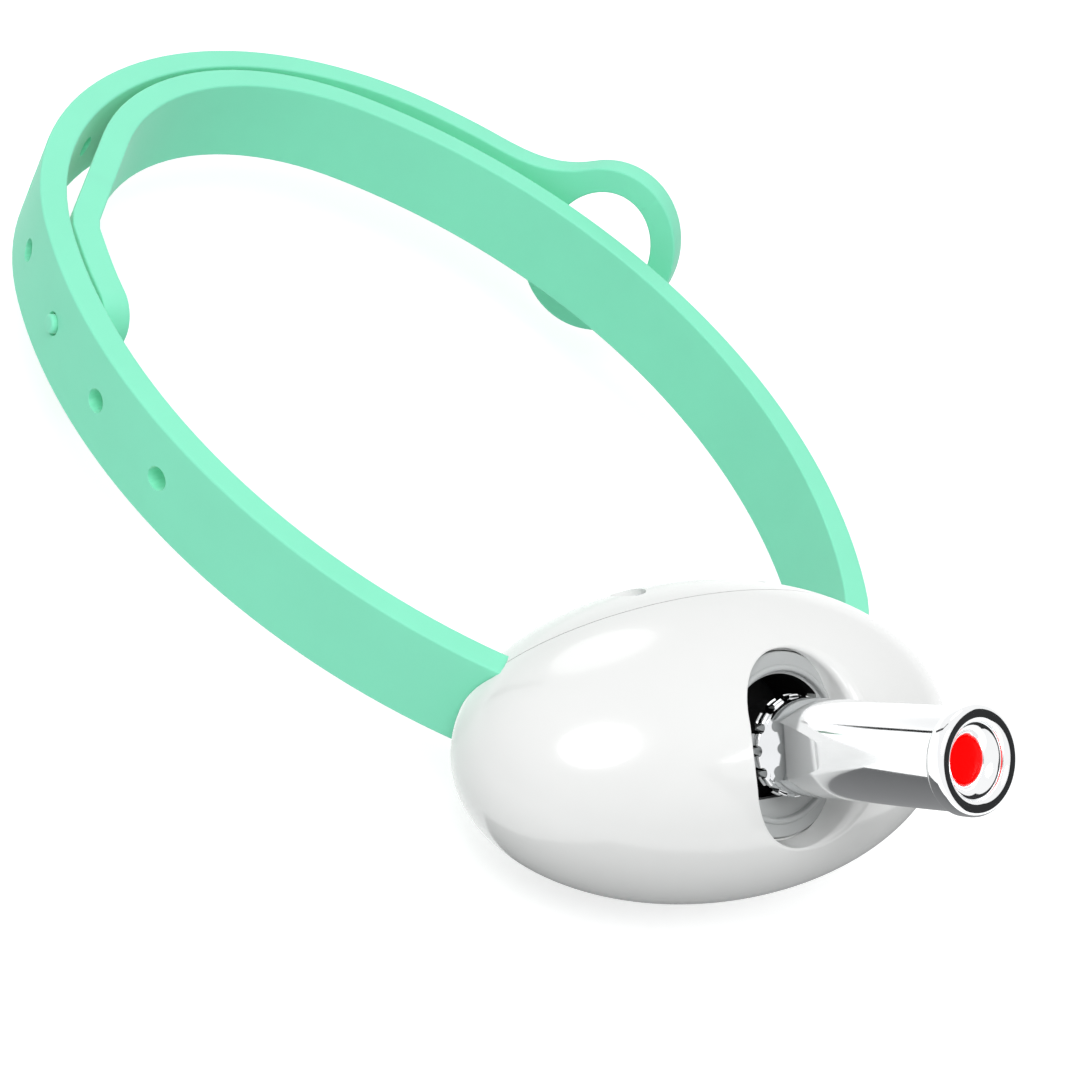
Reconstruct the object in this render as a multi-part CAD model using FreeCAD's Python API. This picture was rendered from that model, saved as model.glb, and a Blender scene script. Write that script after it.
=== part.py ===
import FreeCAD, Part
import math
import os

from FreeCAD import Matrix, Rotation, Vector

# Cat collar with a motor-driven laser turret, in millimetres.
# +Z is the axis of the cat's neck, the housing is on the -Y side, and the
# origin is the middle of the neck loop.

# Neck loop and straps
LOOP_CENTRE_Y = 50.0
STRAP_WIDTH = 10.0
STRAP_THICKNESS = 2.8
STRAP_EDGE_RADIUS = 1.1
ROOT_X = 18.7
ROOT_Y = 5.0
ROOT_HEADING = 34.6
HOLE_STRAP_SIDE_RADIUS = 61.5
HOLE_STRAP_SIDE_TURN = 66.5
HOLE_STRAP_TOP_RADIUS = 35.0
HOLE_STRAP_TOP_TURN = 118.5
HOLE_STRAP_END_RADIUS = 77.0
HOLE_STRAP_END_TURN = 12.0
PEG_STRAP_ROOT_RADIUS = 19.4
PEG_STRAP_ROOT_TURN = 29.9
PEG_STRAP_SIDE_RADIUS = 59.0
PEG_STRAP_SIDE_TURN = 84.6
PEG_STRAP_TOP_RADIUS = 25.8
PEG_STRAP_TOP_TURN = 86.5
LAYER_GAP = 0.3

# Adjusting holes, peg and eyelet
HOLE_DIAMETER = 2.4
HOLE_COUNT = 8
HOLE_PITCH = 10.4
FIRST_HOLE_ALONG = 41.9
PEGGED_HOLE = 2
PEG_CLEARANCE = 0.25
PEG_PROUD = 0.5
PEG_TIP_BEYOND = 6.0
PEG_TIP_BEFORE = 5.5
PEG_BEND_RADIUS = 5.0
TIP_HINGE_ARM = 15.0
TIP_JOINT_RADIUS = 9.0
TIP_JOINT_GAP = 0.1
EYELET_HALF_LENGTH = 9.0
EYELET_HALF_HEIGHT = 10.9
EYELET_BAR = 3.0
EYELET_EDGE_RADIUS = 1.2

# Housing shells
HOUSING_HALF_LENGTH = 28.6
HOUSING_HALF_DEPTH = 16.1
HOUSING_HALF_HEIGHT = 14.1
SHELL_WALL = 1.6
PARTING_Y = 8.0
REAR_FLAT_Y = 13.6
SLOT_CLEARANCE = 0.05
COVER_SCREW_X = 7.5
COVER_SCREW_Z = 8.4
SCREW_BOSS_RADIUS = 1.7
SCREW_SHANK_RADIUS = 0.8
SCREW_HEAD_RADIUS = 1.5
SCREW_HEAD_THICKNESS = 1.0
SCREW_SEAT_Y = 10.2
SCREW_LENGTH = 5.6
STRAP_PIN_RADIUS = 1.0
STRAP_PIN_HALF_LENGTH = 8.6
ROOT_EYE_RADIUS = 2.3

# Turret
TURRET_ELEVATION = 47.5
TURRET_FACE = 10.2
TURRET_DISC_RADIUS = 8.7
TURRET_DISC_THICKNESS = 1.6
TURRET_SIDE_CLEARANCE = 0.1
TURRET_CUP_RADIUS = 7.9
TURRET_CUP_WALL = 1.0
TURRET_CUP_FLOOR = 3.5
TURRET_CUP_BASE = 2.5
TURRET_SLOT_HALF_WIDTH = 5.1
TURRET_SLOT_LOW = 4.9
TURRET_FACE_RECESS = 0.4
TURRET_SHAFT_RADIUS = 1.5
TURRET_SHAFT_END = -1.7
RETAINER_HEIGHT = 1.2
RUNNING_CLEARANCE = 0.05
AXIAL_CLEARANCE = 0.1
BEZEL_WALL = 2.0
WINDOW_HALF_WIDTH = 6.2
WINDOW_HALF_HEIGHT = 8.95
WINDOW_FLARE = 0.17

# Laser barrel
PIVOT = 6.2
KNUCKLE_RADIUS = 2.6
KNUCKLE_HALF_WIDTH = 4.6
TILT_PIN_RADIUS = 1.0
BARREL_ROOT_RADIUS = 4.0
BARREL_SHOULDER = 8.0
COLLAR_START = 11.0
COLLAR_THICKNESS = 1.3
COLLAR_RADIUS = 4.8
COLLAR_LOBES = 14
COLLAR_NOTCH_RADIUS = 0.45
BARREL_RADIUS = 4.55
BARREL_END = 33.2
BARREL_BORE = 3.4
BORE_START = 16.0
FACET_DEPTH = 1.1
FACET_LENGTH = 8.5
RIM_RADIUS = 4.85
RIM_LENGTH = 2.0
RIM_ROUND = 0.6
REFLECTOR_MOUTH = 3.2
REFLECTOR_LENGTH = 2.4
LENS_RADIUS = 2.0
LENS_THICKNESS = 1.0
MODULE_LENGTH = 9.0

# Gear train
GEAR_MODULE = 0.5
TURRET_TEETH = 28
SMALL_WHEEL_TEETH = 10
LARGE_WHEEL_TEETH = 20
PINION_TEETH = 8
TURRET_GEAR_THICKNESS = 1.3
LARGE_WHEEL_THICKNESS = 1.0
WHEEL_GAP = 0.3
PINION_ANGLE = -40.0
AXLE_RADIUS = 0.7
ADDENDUM = 0.62
DEDENDUM = 0.95
TOOTH_FILL = 0.8
PRESSURE_ANGLE = 20.0

# Motor, battery and electronics
CHASSIS_THICKNESS = 1.0
CHASSIS_TOP = -0.7
CHASSIS_LEFT = -10.0
CHASSIS_BACK_Y = 5.0
CHASSIS_EYE_GAP = 1.0
MOTOR_RADIUS = 3.0
MOTOR_LENGTH = 6.0
MOTOR_SHAFT_RADIUS = 0.5
BATTERY_LENGTH = 10.0
BATTERY_DEPTH = 7.5
BATTERY_HEIGHT = 11.6
BATTERY_BACK_Y = 2.5
BATTERY_EDGE_RADIUS = 1.0
BOARD_LENGTH = 27.0
BOARD_HEIGHT = 12.0
BOARD_THICKNESS = 1.0
BOARD_REAR_Y = 7.0
BOARD_POST_X = 11.5
BOARD_POST_RADIUS = 1.4
SOCKET_X = 5.0
SOCKET_WIDTH = 9.0
SOCKET_HEIGHT = 3.2
SOCKET_WALL = 0.35
SOCKET_POCKET = 5.0
SOCKET_CORNER_SHARE = 0.6
TONGUE_THICKNESS = 0.7
TONGUE_SETBACK = 0.5
BUTTON_X = -6.0
BUTTON_RADIUS = 2.5
BUTTON_FLANGE_RADIUS = 3.1
BUTTON_FLANGE_THICKNESS = 0.7
BUTTON_RECESS = 0.2
BUTTON_TRAVEL = 0.5
SWITCH_SIDE = 3.6
SWITCH_HEIGHT = 1.6
SWITCH_PLUNGER_RADIUS = 0.9
SWITCH_PLUNGER_HEIGHT = 0.3

# Sizes that follow from the ones above
HALF_THICKNESS = STRAP_THICKNESS / 2
LAYER_OFFSET = STRAP_THICKNESS + LAYER_GAP
CAVITY_HALF_LENGTH = HOUSING_HALF_LENGTH - SHELL_WALL
CAVITY_HALF_DEPTH = HOUSING_HALF_DEPTH - SHELL_WALL
CAVITY_HALF_HEIGHT = HOUSING_HALF_HEIGHT - SHELL_WALL
TURRET_BORE = TURRET_DISC_RADIUS + TURRET_SIDE_CLEARANCE
DISC_BACK = TURRET_FACE - TURRET_DISC_THICKNESS
CUP_INNER_RADIUS = TURRET_CUP_RADIUS - TURRET_CUP_WALL
RETAINER_TOP = DISC_BACK - AXIAL_CLEARANCE
RETAINER_BASE = RETAINER_TOP - RETAINER_HEIGHT
TURRET_GEAR_TOP = TURRET_CUP_BASE
TURRET_GEAR_BASE = TURRET_GEAR_TOP - TURRET_GEAR_THICKNESS
LARGE_WHEEL_TOP = TURRET_GEAR_BASE - WHEEL_GAP
LARGE_WHEEL_BASE = LARGE_WHEEL_TOP - LARGE_WHEEL_THICKNESS
CHASSIS_BASE = CHASSIS_TOP - CHASSIS_THICKNESS
IDLER_X = GEAR_MODULE * (TURRET_TEETH + SMALL_WHEEL_TEETH) / 2
PINION_DISTANCE = GEAR_MODULE * (LARGE_WHEEL_TEETH + PINION_TEETH) / 2
PINION_X = IDLER_X + PINION_DISTANCE * math.cos(math.radians(PINION_ANGLE))
PINION_V = PINION_DISTANCE * math.sin(math.radians(PINION_ANGLE))
BATTERY_LEFT = CHASSIS_LEFT - BATTERY_LENGTH
INNER_REAR_Y = REAR_FLAT_Y - SHELL_WALL
REACH = 60.0
CUT_MARGIN = 1.0


def translated(shape, x, y, z):
    moved = shape.copy()
    moved.translate(Vector(x, y, z))
    return moved


def cylinder(radius, low, high, x=0.0, y=0.0):
    """A cylinder along Z between two heights."""
    return Part.makeCylinder(radius, high - low, Vector(x, y, low), Vector(0, 0, 1))


def cross_cylinder(radius, half_length, z, x=0.0):
    """A cylinder along X, centred at x and height z."""
    start = Vector(x - half_length, 0, z)
    return Part.makeCylinder(radius, 2 * half_length, start, Vector(1, 0, 0))


def depth_cylinder(radius, low, high, x, z):
    """A cylinder along Y between two depths."""
    return Part.makeCylinder(radius, high - low, Vector(x, low, z), Vector(0, 1, 0))


def box(low, high):
    size = Vector(*high) - Vector(*low)
    return Part.makeBox(size.x, size.y, size.z, Vector(*low))


def ring(outer, inner, low, high, x=0.0, y=0.0):
    return cylinder(outer, low, high, x, y).cut(cylinder(inner, low - CUT_MARGIN, high + CUT_MARGIN, x, y))


def largest_solid(shape):
    """Drop the crumbs that a cut breaks off at a thin edge."""
    return max(shape.Solids, key=lambda solid: solid.Volume)


def on_turret_axis(shape):
    """Turn a piece drawn along Z onto the turret's axis."""
    placed = shape.copy()
    placed.rotate(Vector(0, 0, 0), Vector(1, 0, 0), 90 - TURRET_ELEVATION)
    return placed


def in_housing(shape):
    """Move a piece drawn about the housing's middle to its place on the loop."""
    return translated(shape, 0, -LOOP_CENTRE_Y, 0)


def mirrored_x(shape):
    return shape.mirror(Vector(0, 0, 0), Vector(1, 0, 0))


def egg(half_length, half_depth, half_height):
    scale = Matrix()
    scale.scale(half_length, half_depth, half_height)
    return Part.makeSphere(1.0).transformGeometry(scale)


# Paths of tangent arcs in the XY plane, each arc a pair of radius and turn.
# A positive turn bends left; a radius of None is a straight run of that length.
def walk(start, heading, runs):
    """Return the stations of a path as (point, heading) after each run."""
    stations = [(Vector(*start, 0), heading)]
    for radius, amount in runs:
        point, angle = stations[-1]
        stations.append(advance(point, angle, radius, amount))
    return stations


def advance(point, angle, radius, amount):
    """Move along one run and return the new point and heading."""
    if radius is None:
        return point + along_heading(angle) * amount, angle
    side = math.copysign(1, amount)
    centre = point + left_of(angle) * (side * radius)
    new_angle = angle + amount
    return centre - left_of(new_angle) * (side * radius), new_angle


def along_heading(angle):
    return Vector(math.cos(math.radians(angle)), math.sin(math.radians(angle)), 0)


def left_of(angle):
    return along_heading(angle + 90)


def edge_beside(point, angle, radius, amount, offset):
    """One edge of a path, moved sideways by offset to its left."""
    end, end_angle = advance(point, angle, radius, amount)
    first = point + left_of(angle) * offset
    last = end + left_of(end_angle) * offset
    if radius is None:
        return Part.makeLine(first, last)
    middle, middle_angle = advance(point, angle, radius, amount / 2)
    return Part.Arc(first, middle + left_of(middle_angle) * offset, last).toShape()


def path_edges(start, heading, runs, offset):
    stations = walk(start, heading, runs)
    pairs = zip(stations, runs)
    return [edge_beside(p, a, radius, amount, offset) for (p, a), (radius, amount) in pairs]


def band(start, heading, runs, width, thickness, edge_radius=0.0):
    """A flat band on edge that follows a path, with rounded long edges."""
    left = path_edges(start, heading, runs, thickness / 2)
    right = path_edges(start, heading, runs, -thickness / 2)
    first = Part.makeLine(left[0].Vertexes[0].Point, right[0].Vertexes[0].Point)
    last = Part.makeLine(left[-1].Vertexes[-1].Point, right[-1].Vertexes[-1].Point)
    wire = Part.Wire(Part.__sortEdges__(left + right + [first, last]))
    solid = Part.Face(wire).extrude(Vector(0, 0, width))
    solid.translate(Vector(0, 0, -width / 2))
    if edge_radius == 0.0:
        return solid
    ends = (first, last)
    rounded = [e for e in solid.Edges if flat_at(e, width / 2) and not on_ends(e, ends)]
    return solid.makeFillet(edge_radius, rounded)


def flat_at(edge, height):
    box_of_edge = edge.BoundBox
    return box_of_edge.ZLength < 1e-6 and abs(abs(box_of_edge.ZMin) - height) < 1e-6


def on_ends(edge, ends):
    middle = edge.valueAt((edge.FirstParameter + edge.LastParameter) / 2)
    flat = Vector(middle.x, middle.y, 0)
    return any(line.distToShape(Part.Vertex(flat))[0] < 1e-6 for line in ends)


def run_length(radius, amount):
    if radius is None:
        return amount
    return math.radians(abs(amount)) * radius


def station_at(start, heading, runs, along):
    """Point and heading at a distance along a path."""
    point, angle = Vector(*start, 0), heading
    for radius, amount in runs:
        length = run_length(radius, amount)
        if along <= length:
            return advance(point, angle, radius, amount * along / length)
        point, angle = advance(point, angle, radius, amount)
        along -= length
    return point, angle


# The hole strap is drawn on the +X side, and is mirrored to its own side last.
ROOT = (ROOT_X, ROOT_Y)
HOLE_STRAP_RUNS = (
    (HOLE_STRAP_SIDE_RADIUS, HOLE_STRAP_SIDE_TURN),
    (HOLE_STRAP_TOP_RADIUS, HOLE_STRAP_TOP_TURN),
    (HOLE_STRAP_END_RADIUS, HOLE_STRAP_END_TURN),
)
PEG_STRAP_RUNS = (
    (PEG_STRAP_ROOT_RADIUS, PEG_STRAP_ROOT_TURN),
    (PEG_STRAP_SIDE_RADIUS, PEG_STRAP_SIDE_TURN),
    (PEG_STRAP_TOP_RADIUS, PEG_STRAP_TOP_TURN),
)


def hole_station(index):
    """Centre and heading of one adjusting hole, on the hole strap's own side."""
    along = FIRST_HOLE_ALONG + index * HOLE_PITCH
    point, angle = station_at(ROOT, ROOT_HEADING, HOLE_STRAP_RUNS, along)
    return Vector(-point.x, point.y, 0), 180 - angle


def radial_pin(point, angle, radius, inner, outer):
    """A cylinder through the strap, between two offsets outward of its middle.

    The heading is that of the path going up, with the loop on its right.
    """
    outward = left_of(angle)
    return Part.makeCylinder(radius, outer - inner, point + outward * inner, outward)


def root_eye():
    """The thickened end of a strap that a pin holds inside the housing."""
    height = STRAP_WIDTH / 2
    return cylinder(ROOT_EYE_RADIUS, -height, height, ROOT_X, ROOT_Y)


def with_root_eye(strap):
    height = STRAP_WIDTH
    hole = cylinder(STRAP_PIN_RADIUS, -height, height, ROOT_X, ROOT_Y)
    return strap.fuse(root_eye()).cut(hole).removeSplitter()


def eyelet(point, angle):
    """The oval ring at the end of the hole strap, standing in the strap's face."""
    outer = ellipse_plate(EYELET_HALF_LENGTH, EYELET_HALF_HEIGHT, STRAP_THICKNESS)
    rims = [edge for edge in outer.Edges if edge.isClosed()]
    rounded = outer.makeFillet(EYELET_EDGE_RADIUS, rims)
    inner_length = EYELET_HALF_LENGTH - EYELET_BAR
    inner_height = EYELET_HALF_HEIGHT - EYELET_BAR
    inner = ellipse_plate(inner_length, inner_height, 2 * STRAP_THICKNESS)
    solid = rounded.cut(inner)
    solid.rotate(Vector(0, 0, 0), Vector(0, 0, 1), angle)
    return translated(solid, point.x, point.y, 0)


def ellipse_plate(half_length, half_height, thickness):
    """An elliptic plate in the XZ plane, centred on the origin."""
    major = max(half_length, half_height)
    minor = min(half_length, half_height)
    curve = Part.Ellipse(Vector(0, 0, 0), major, minor)
    plate = Part.Face(Part.Wire(curve.toShape())).extrude(Vector(0, 0, thickness))
    plate.translate(Vector(0, 0, -thickness / 2))
    if half_height > half_length:
        plate.rotate(Vector(0, 0, 0), Vector(0, 0, 1), 90)
    plate.rotate(Vector(0, 0, 0), Vector(1, 0, 0), 90)
    return plate


def make_hole_strap():
    strap = band(ROOT, ROOT_HEADING, HOLE_STRAP_RUNS, STRAP_WIDTH, STRAP_THICKNESS, STRAP_EDGE_RADIUS)
    strap = mirrored_x(with_root_eye(strap))
    for index in range(HOLE_COUNT):
        point, angle = hole_station(index)
        reach = STRAP_THICKNESS
        strap = strap.cut(radial_pin(point, angle, HOLE_DIAMETER / 2, -reach, reach))
    end, end_angle = walk(ROOT, ROOT_HEADING, HOLE_STRAP_RUNS)[-1]
    heading = 180 - end_angle
    reach = EYELET_HALF_LENGTH - EYELET_BAR / 2
    centre = Vector(-end.x, end.y, 0) + along_heading(heading) * reach
    return strap.fuse(eyelet(centre, heading)).removeSplitter()


def peg_tip_start():
    """Where the tip comes to lie against the inside of the hole strap."""
    along = FIRST_HOLE_ALONG + PEGGED_HOLE * HOLE_PITCH + PEG_TIP_BEFORE
    point, angle = station_at(ROOT, ROOT_HEADING, HOLE_STRAP_RUNS, along)
    heading = 180 - angle
    inward = left_of(heading) * -LAYER_OFFSET
    return Vector(-point.x, point.y, 0) + inward, heading + 180


def peg_strap_runs():
    """The arcs over the top, a straight run, a bend and the tip along the other strap."""
    start, heading = walk(ROOT, ROOT_HEADING, PEG_STRAP_RUNS)[-1]
    tip, tip_heading = peg_tip_start()
    turn = (tip_heading - heading) % 360
    ahead, back = along_heading(heading), along_heading(tip_heading)
    gap = tip - start
    spread = ahead.x * back.y - ahead.y * back.x
    first = (gap.x * back.y - gap.y * back.x) / spread
    second = (ahead.x * gap.y - ahead.y * gap.x) / spread
    tangent = PEG_BEND_RADIUS * math.tan(math.radians(turn / 2))
    tip_radius = HOLE_STRAP_SIDE_RADIUS - LAYER_OFFSET
    tip_turn = math.degrees((PEG_TIP_BEFORE + PEG_TIP_BEYOND) / HOLE_STRAP_SIDE_RADIUS)
    bend = (None, first - tangent), (PEG_BEND_RADIUS, turn), (None, second - tangent)
    return PEG_STRAP_RUNS + bend + ((tip_radius, tip_turn),)


def tip_side(radius):
    """The space of the strap's tip: a round joint about the hinge and all beyond it."""
    point, heading = hole_station(PEGGED_HOLE)
    hinge = point + along_heading(heading) * TIP_HINGE_ARM
    beyond = box((-REACH, -REACH, -REACH), (0, REACH, REACH))
    beyond.rotate(Vector(0, 0, 0), Vector(0, 0, 1), heading)
    beyond.translate(hinge)
    return cylinder(radius, -REACH, REACH, hinge.x, hinge.y).fuse(beyond)


def whole_peg_strap():
    return band(ROOT, ROOT_HEADING, peg_strap_runs(), STRAP_WIDTH, STRAP_THICKNESS, STRAP_EDGE_RADIUS)


def make_peg_strap():
    return with_root_eye(whole_peg_strap().cut(tip_side(TIP_JOINT_RADIUS + TIP_JOINT_GAP)))


def make_peg_strap_tip():
    tip = whole_peg_strap().common(tip_side(TIP_JOINT_RADIUS))
    return tip.cut(peg_body(0.0))


def peg_body(proud):
    """The peg, from the middle of the tip out through the hole of the other strap."""
    point, angle = hole_station(PEGGED_HOLE)
    radius = HOLE_DIAMETER / 2 - PEG_CLEARANCE
    pin = radial_pin(point, angle, radius, -LAYER_OFFSET, HALF_THICKNESS + proud)
    base = radial_pin(point, angle, 2 * radius, -LAYER_OFFSET - HALF_THICKNESS / 2, -LAYER_OFFSET)
    return pin.fuse(base)


def make_strap_peg():
    return peg_body(PEG_PROUD)


def make_strap_pins():
    length = STRAP_PIN_HALF_LENGTH
    pin = cylinder(STRAP_PIN_RADIUS, -length, length, ROOT_X, ROOT_Y)
    return Part.makeCompound([pin, mirrored_x(pin)])


def strap_slots():
    """The mouths in the housing's ends that the two straps leave through."""
    slack = 2 * SLOT_CLEARANCE
    width, thickness = STRAP_WIDTH + slack, STRAP_THICKNESS + slack
    right = band(ROOT, ROOT_HEADING, PEG_STRAP_RUNS[:1], width, thickness)
    left = mirrored_x(band(ROOT, ROOT_HEADING, HOLE_STRAP_RUNS[:1], width, thickness))
    return right.fuse(left)


def racetrack(half_width, half_height, height):
    """A closed outline with two straight sides and two round ends."""
    straight = half_height - half_width
    corners = [
        Vector(half_width, -straight, height),
        Vector(half_width, straight, height),
        Vector(-half_width, straight, height),
        Vector(-half_width, -straight, height),
    ]
    top = Part.Arc(corners[1], Vector(0, half_height, height), corners[2]).toShape()
    bottom = Part.Arc(corners[3], Vector(0, -half_height, height), corners[0]).toShape()
    right = Part.makeLine(corners[0], corners[1])
    left = Part.makeLine(corners[2], corners[3])
    return Part.Wire([right, top, left, bottom])


def window():
    """The flared opening that the barrel comes out of, about the turret's axis."""
    depth = HOUSING_HALF_DEPTH - TURRET_FACE
    flare = WINDOW_FLARE * depth
    inner = racetrack(WINDOW_HALF_WIDTH, WINDOW_HALF_HEIGHT, TURRET_FACE)
    outer = racetrack(WINDOW_HALF_WIDTH + flare, WINDOW_HALF_HEIGHT + flare, HOUSING_HALF_DEPTH)
    return Part.makeLoft([inner, outer], True)


def screw_places():
    return [(x, z) for x in (-COVER_SCREW_X, COVER_SCREW_X) for z in (-COVER_SCREW_Z, COVER_SCREW_Z)]


def outer_egg():
    return egg(HOUSING_HALF_LENGTH, HOUSING_HALF_DEPTH, HOUSING_HALF_HEIGHT)


def cavity():
    return egg(CAVITY_HALF_LENGTH, CAVITY_HALF_DEPTH, CAVITY_HALF_HEIGHT)


def strap_eye_room():
    """Room for the thickened strap ends inside the housing."""
    height = STRAP_WIDTH / 2 + SLOT_CLEARANCE
    radius = ROOT_EYE_RADIUS + SLOT_CLEARANCE
    eye = cylinder(radius, -height, height, ROOT_X, ROOT_Y)
    return eye.fuse(mirrored_x(eye))


def make_front_shell():
    outer = outer_egg().common(box((-REACH, -REACH, -REACH), (REACH, PARTING_Y, REACH)))
    shell = outer.cut(cavity())
    seat = on_turret_axis(cylinder(TURRET_BORE + BEZEL_WALL, RETAINER_BASE, REACH))
    shell = shell.fuse(seat.common(outer))
    shell = shell.cut(on_turret_axis(cylinder(TURRET_BORE, 0, TURRET_FACE)))
    shell = shell.cut(on_turret_axis(window()))
    for x, z in screw_places():
        boss = depth_cylinder(SCREW_BOSS_RADIUS, PARTING_Y - SCREW_LENGTH, PARTING_Y, x, z)
        shell = shell.fuse(boss.common(outer))
        shell = shell.cut(depth_cylinder(SCREW_SHANK_RADIUS, SCREW_SEAT_Y - SCREW_LENGTH, REACH, x, z))
    shell = shell.cut(strap_slots()).cut(strap_eye_room()).cut(make_strap_pins())
    return shell


def make_rear_cover():
    block = box((-REACH, PARTING_Y, -REACH), (REACH, REAR_FLAT_Y, REACH))
    outer = outer_egg().common(block)
    inner = cavity().common(box((-REACH, -REACH, -REACH), (REACH, INNER_REAR_Y, REACH)))
    cover = outer.cut(inner)
    for x, z in screw_places():
        cover = cover.fuse(depth_cylinder(SCREW_BOSS_RADIUS, PARTING_Y, REACH, x, z).common(outer))
        cover = cover.cut(depth_cylinder(SCREW_SHANK_RADIUS, PARTING_Y - CUT_MARGIN, REACH, x, z))
        cover = cover.cut(depth_cylinder(SCREW_HEAD_RADIUS, SCREW_SEAT_Y, REACH, x, z))
    for x in (-BOARD_POST_X, BOARD_POST_X):
        cover = cover.fuse(depth_cylinder(BOARD_POST_RADIUS, BOARD_REAR_Y, INNER_REAR_Y, x, 0))
    cover = cover.cut(socket_block(SLOT_CLEARANCE))
    cover = cover.cut(depth_cylinder(BUTTON_RADIUS + RUNNING_CLEARANCE, BOARD_REAR_Y, REACH, BUTTON_X, 0))
    cover = cover.cut(strap_slots())
    return largest_solid(cover)


def make_cover_screws():
    screws = []
    for x, z in screw_places():
        shank = depth_cylinder(SCREW_SHANK_RADIUS, SCREW_SEAT_Y - SCREW_LENGTH, SCREW_SEAT_Y, x, z)
        head_end = SCREW_SEAT_Y + SCREW_HEAD_THICKNESS
        head = depth_cylinder(SCREW_HEAD_RADIUS, SCREW_SEAT_Y, head_end, x, z)
        screws.append(shank.fuse(head))
    return Part.makeCompound(screws)


# Turret, drawn about its own axis
def make_turret_retainer():
    return ring(TURRET_BORE, TURRET_CUP_RADIUS + RUNNING_CLEARANCE, RETAINER_BASE, RETAINER_TOP)


def barrel_slot(low, high):
    """The opening in the turret's face that the barrel stands in and tilts through."""
    round_part = cylinder(CUP_INNER_RADIUS, low, high)
    half = TURRET_SLOT_HALF_WIDTH
    sides = box((-half, -TURRET_SLOT_LOW, low), (half, REACH, high))
    return round_part.common(sides)


def make_turret_disc():
    disc = cylinder(TURRET_DISC_RADIUS, DISC_BACK, TURRET_FACE)
    cup = cylinder(TURRET_CUP_RADIUS, TURRET_CUP_BASE, DISC_BACK)
    body = disc.fuse(cup)
    body = body.cut(cylinder(CUP_INNER_RADIUS, TURRET_CUP_FLOOR, DISC_BACK))
    body = body.cut(cylinder(CUP_INNER_RADIUS, TURRET_FACE - TURRET_FACE_RECESS, TURRET_FACE))
    body = body.cut(barrel_slot(DISC_BACK, TURRET_FACE))
    return body.cut(cross_cylinder(TILT_PIN_RADIUS, TURRET_CUP_RADIUS + CUT_MARGIN, PIVOT)).removeSplitter()


def make_turret_shaft():
    return cylinder(TURRET_SHAFT_RADIUS, TURRET_SHAFT_END, TURRET_GEAR_TOP)


def make_turret_gear():
    wheel = gear(TURRET_TEETH, TURRET_GEAR_BASE, TURRET_GEAR_TOP, 0.0)
    return wheel.cut(make_turret_shaft())


def make_tilt_pin():
    return cross_cylinder(TILT_PIN_RADIUS, TURRET_CUP_RADIUS, PIVOT)


def make_tilt_washers():
    """Two friction washers that fill the cup on either side of the knuckle."""
    inner = KNUCKLE_HALF_WIDTH + RUNNING_CLEARANCE
    outer = math.sqrt(CUP_INNER_RADIUS ** 2 - KNUCKLE_RADIUS ** 2)
    middle = (inner + outer) / 2
    half = (outer - inner) / 2
    washer = cross_cylinder(DISC_BACK - PIVOT - AXIAL_CLEARANCE, half, PIVOT, middle)
    washer = washer.cut(make_tilt_pin())
    return Part.makeCompound([washer, mirrored_x(washer)])


# Barrel, drawn about the turret's axis
def make_barrel_root():
    knuckle = cross_cylinder(KNUCKLE_RADIUS, KNUCKLE_HALF_WIDTH, PIVOT)
    neck_length = BARREL_SHOULDER - PIVOT
    neck = Part.makeCone(KNUCKLE_RADIUS, BARREL_ROOT_RADIUS, neck_length, Vector(0, 0, PIVOT))
    stem = cylinder(BARREL_ROOT_RADIUS, BARREL_SHOULDER, COLLAR_START)
    root = knuckle.fuse(neck).fuse(stem)
    bore = cross_cylinder(TILT_PIN_RADIUS + RUNNING_CLEARANCE, REACH, PIVOT)
    return root.cut(bore).removeSplitter()


def make_scalloped_collar():
    end = COLLAR_START + COLLAR_THICKNESS
    collar = cylinder(COLLAR_RADIUS, COLLAR_START, end)
    for index in range(COLLAR_LOBES):
        angle = math.radians(360 * index / COLLAR_LOBES)
        x, y = COLLAR_RADIUS * math.cos(angle), COLLAR_RADIUS * math.sin(angle)
        collar = collar.cut(cylinder(COLLAR_NOTCH_RADIUS, COLLAR_START, end, x, y))
    return collar


def facet_cutter():
    """A block that planes a tapering flat on the side of the barrel's root."""
    start = COLLAR_START + COLLAR_THICKNESS
    block = box((-3 * BARREL_RADIUS, -REACH, -REACH), (0, REACH, REACH))
    slope = math.degrees(math.atan2(FACET_DEPTH, FACET_LENGTH))
    block.rotate(Vector(0, 0, 0), Vector(0, 1, 0), -slope)
    return translated(block, -BARREL_RADIUS + FACET_DEPTH, 0, start)


def make_laser_barrel():
    start = COLLAR_START + COLLAR_THICKNESS
    barrel = cylinder(BARREL_RADIUS, start, BARREL_END)
    barrel = barrel.cut(cylinder(BARREL_BORE, BORE_START, BARREL_END))
    facet = facet_cutter()
    return barrel.cut(facet).cut(mirrored_x(facet))


def make_barrel_rim():
    end = BARREL_END + RIM_LENGTH
    rim = cylinder(RIM_RADIUS, BARREL_END, end)
    rims = [edge for edge in rim.Edges if edge.isClosed()]
    rim = rim.makeFillet(RIM_ROUND, rims)
    return rim.cut(cylinder(BARREL_BORE, BARREL_END, end))


def make_reflector_cup():
    end = BARREL_END + RIM_LENGTH - RIM_ROUND
    start = end - REFLECTOR_LENGTH
    body = cylinder(BARREL_BORE, start - LENS_THICKNESS, end)
    mouth = Part.makeCone(LENS_RADIUS, REFLECTOR_MOUTH, REFLECTOR_LENGTH, Vector(0, 0, start))
    return body.cut(mouth).cut(cylinder(LENS_RADIUS, start - LENS_THICKNESS, start))


def make_red_lens():
    start = BARREL_END + RIM_LENGTH - RIM_ROUND - REFLECTOR_LENGTH - LENS_THICKNESS
    return cylinder(LENS_RADIUS, start, start + LENS_THICKNESS)


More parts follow.
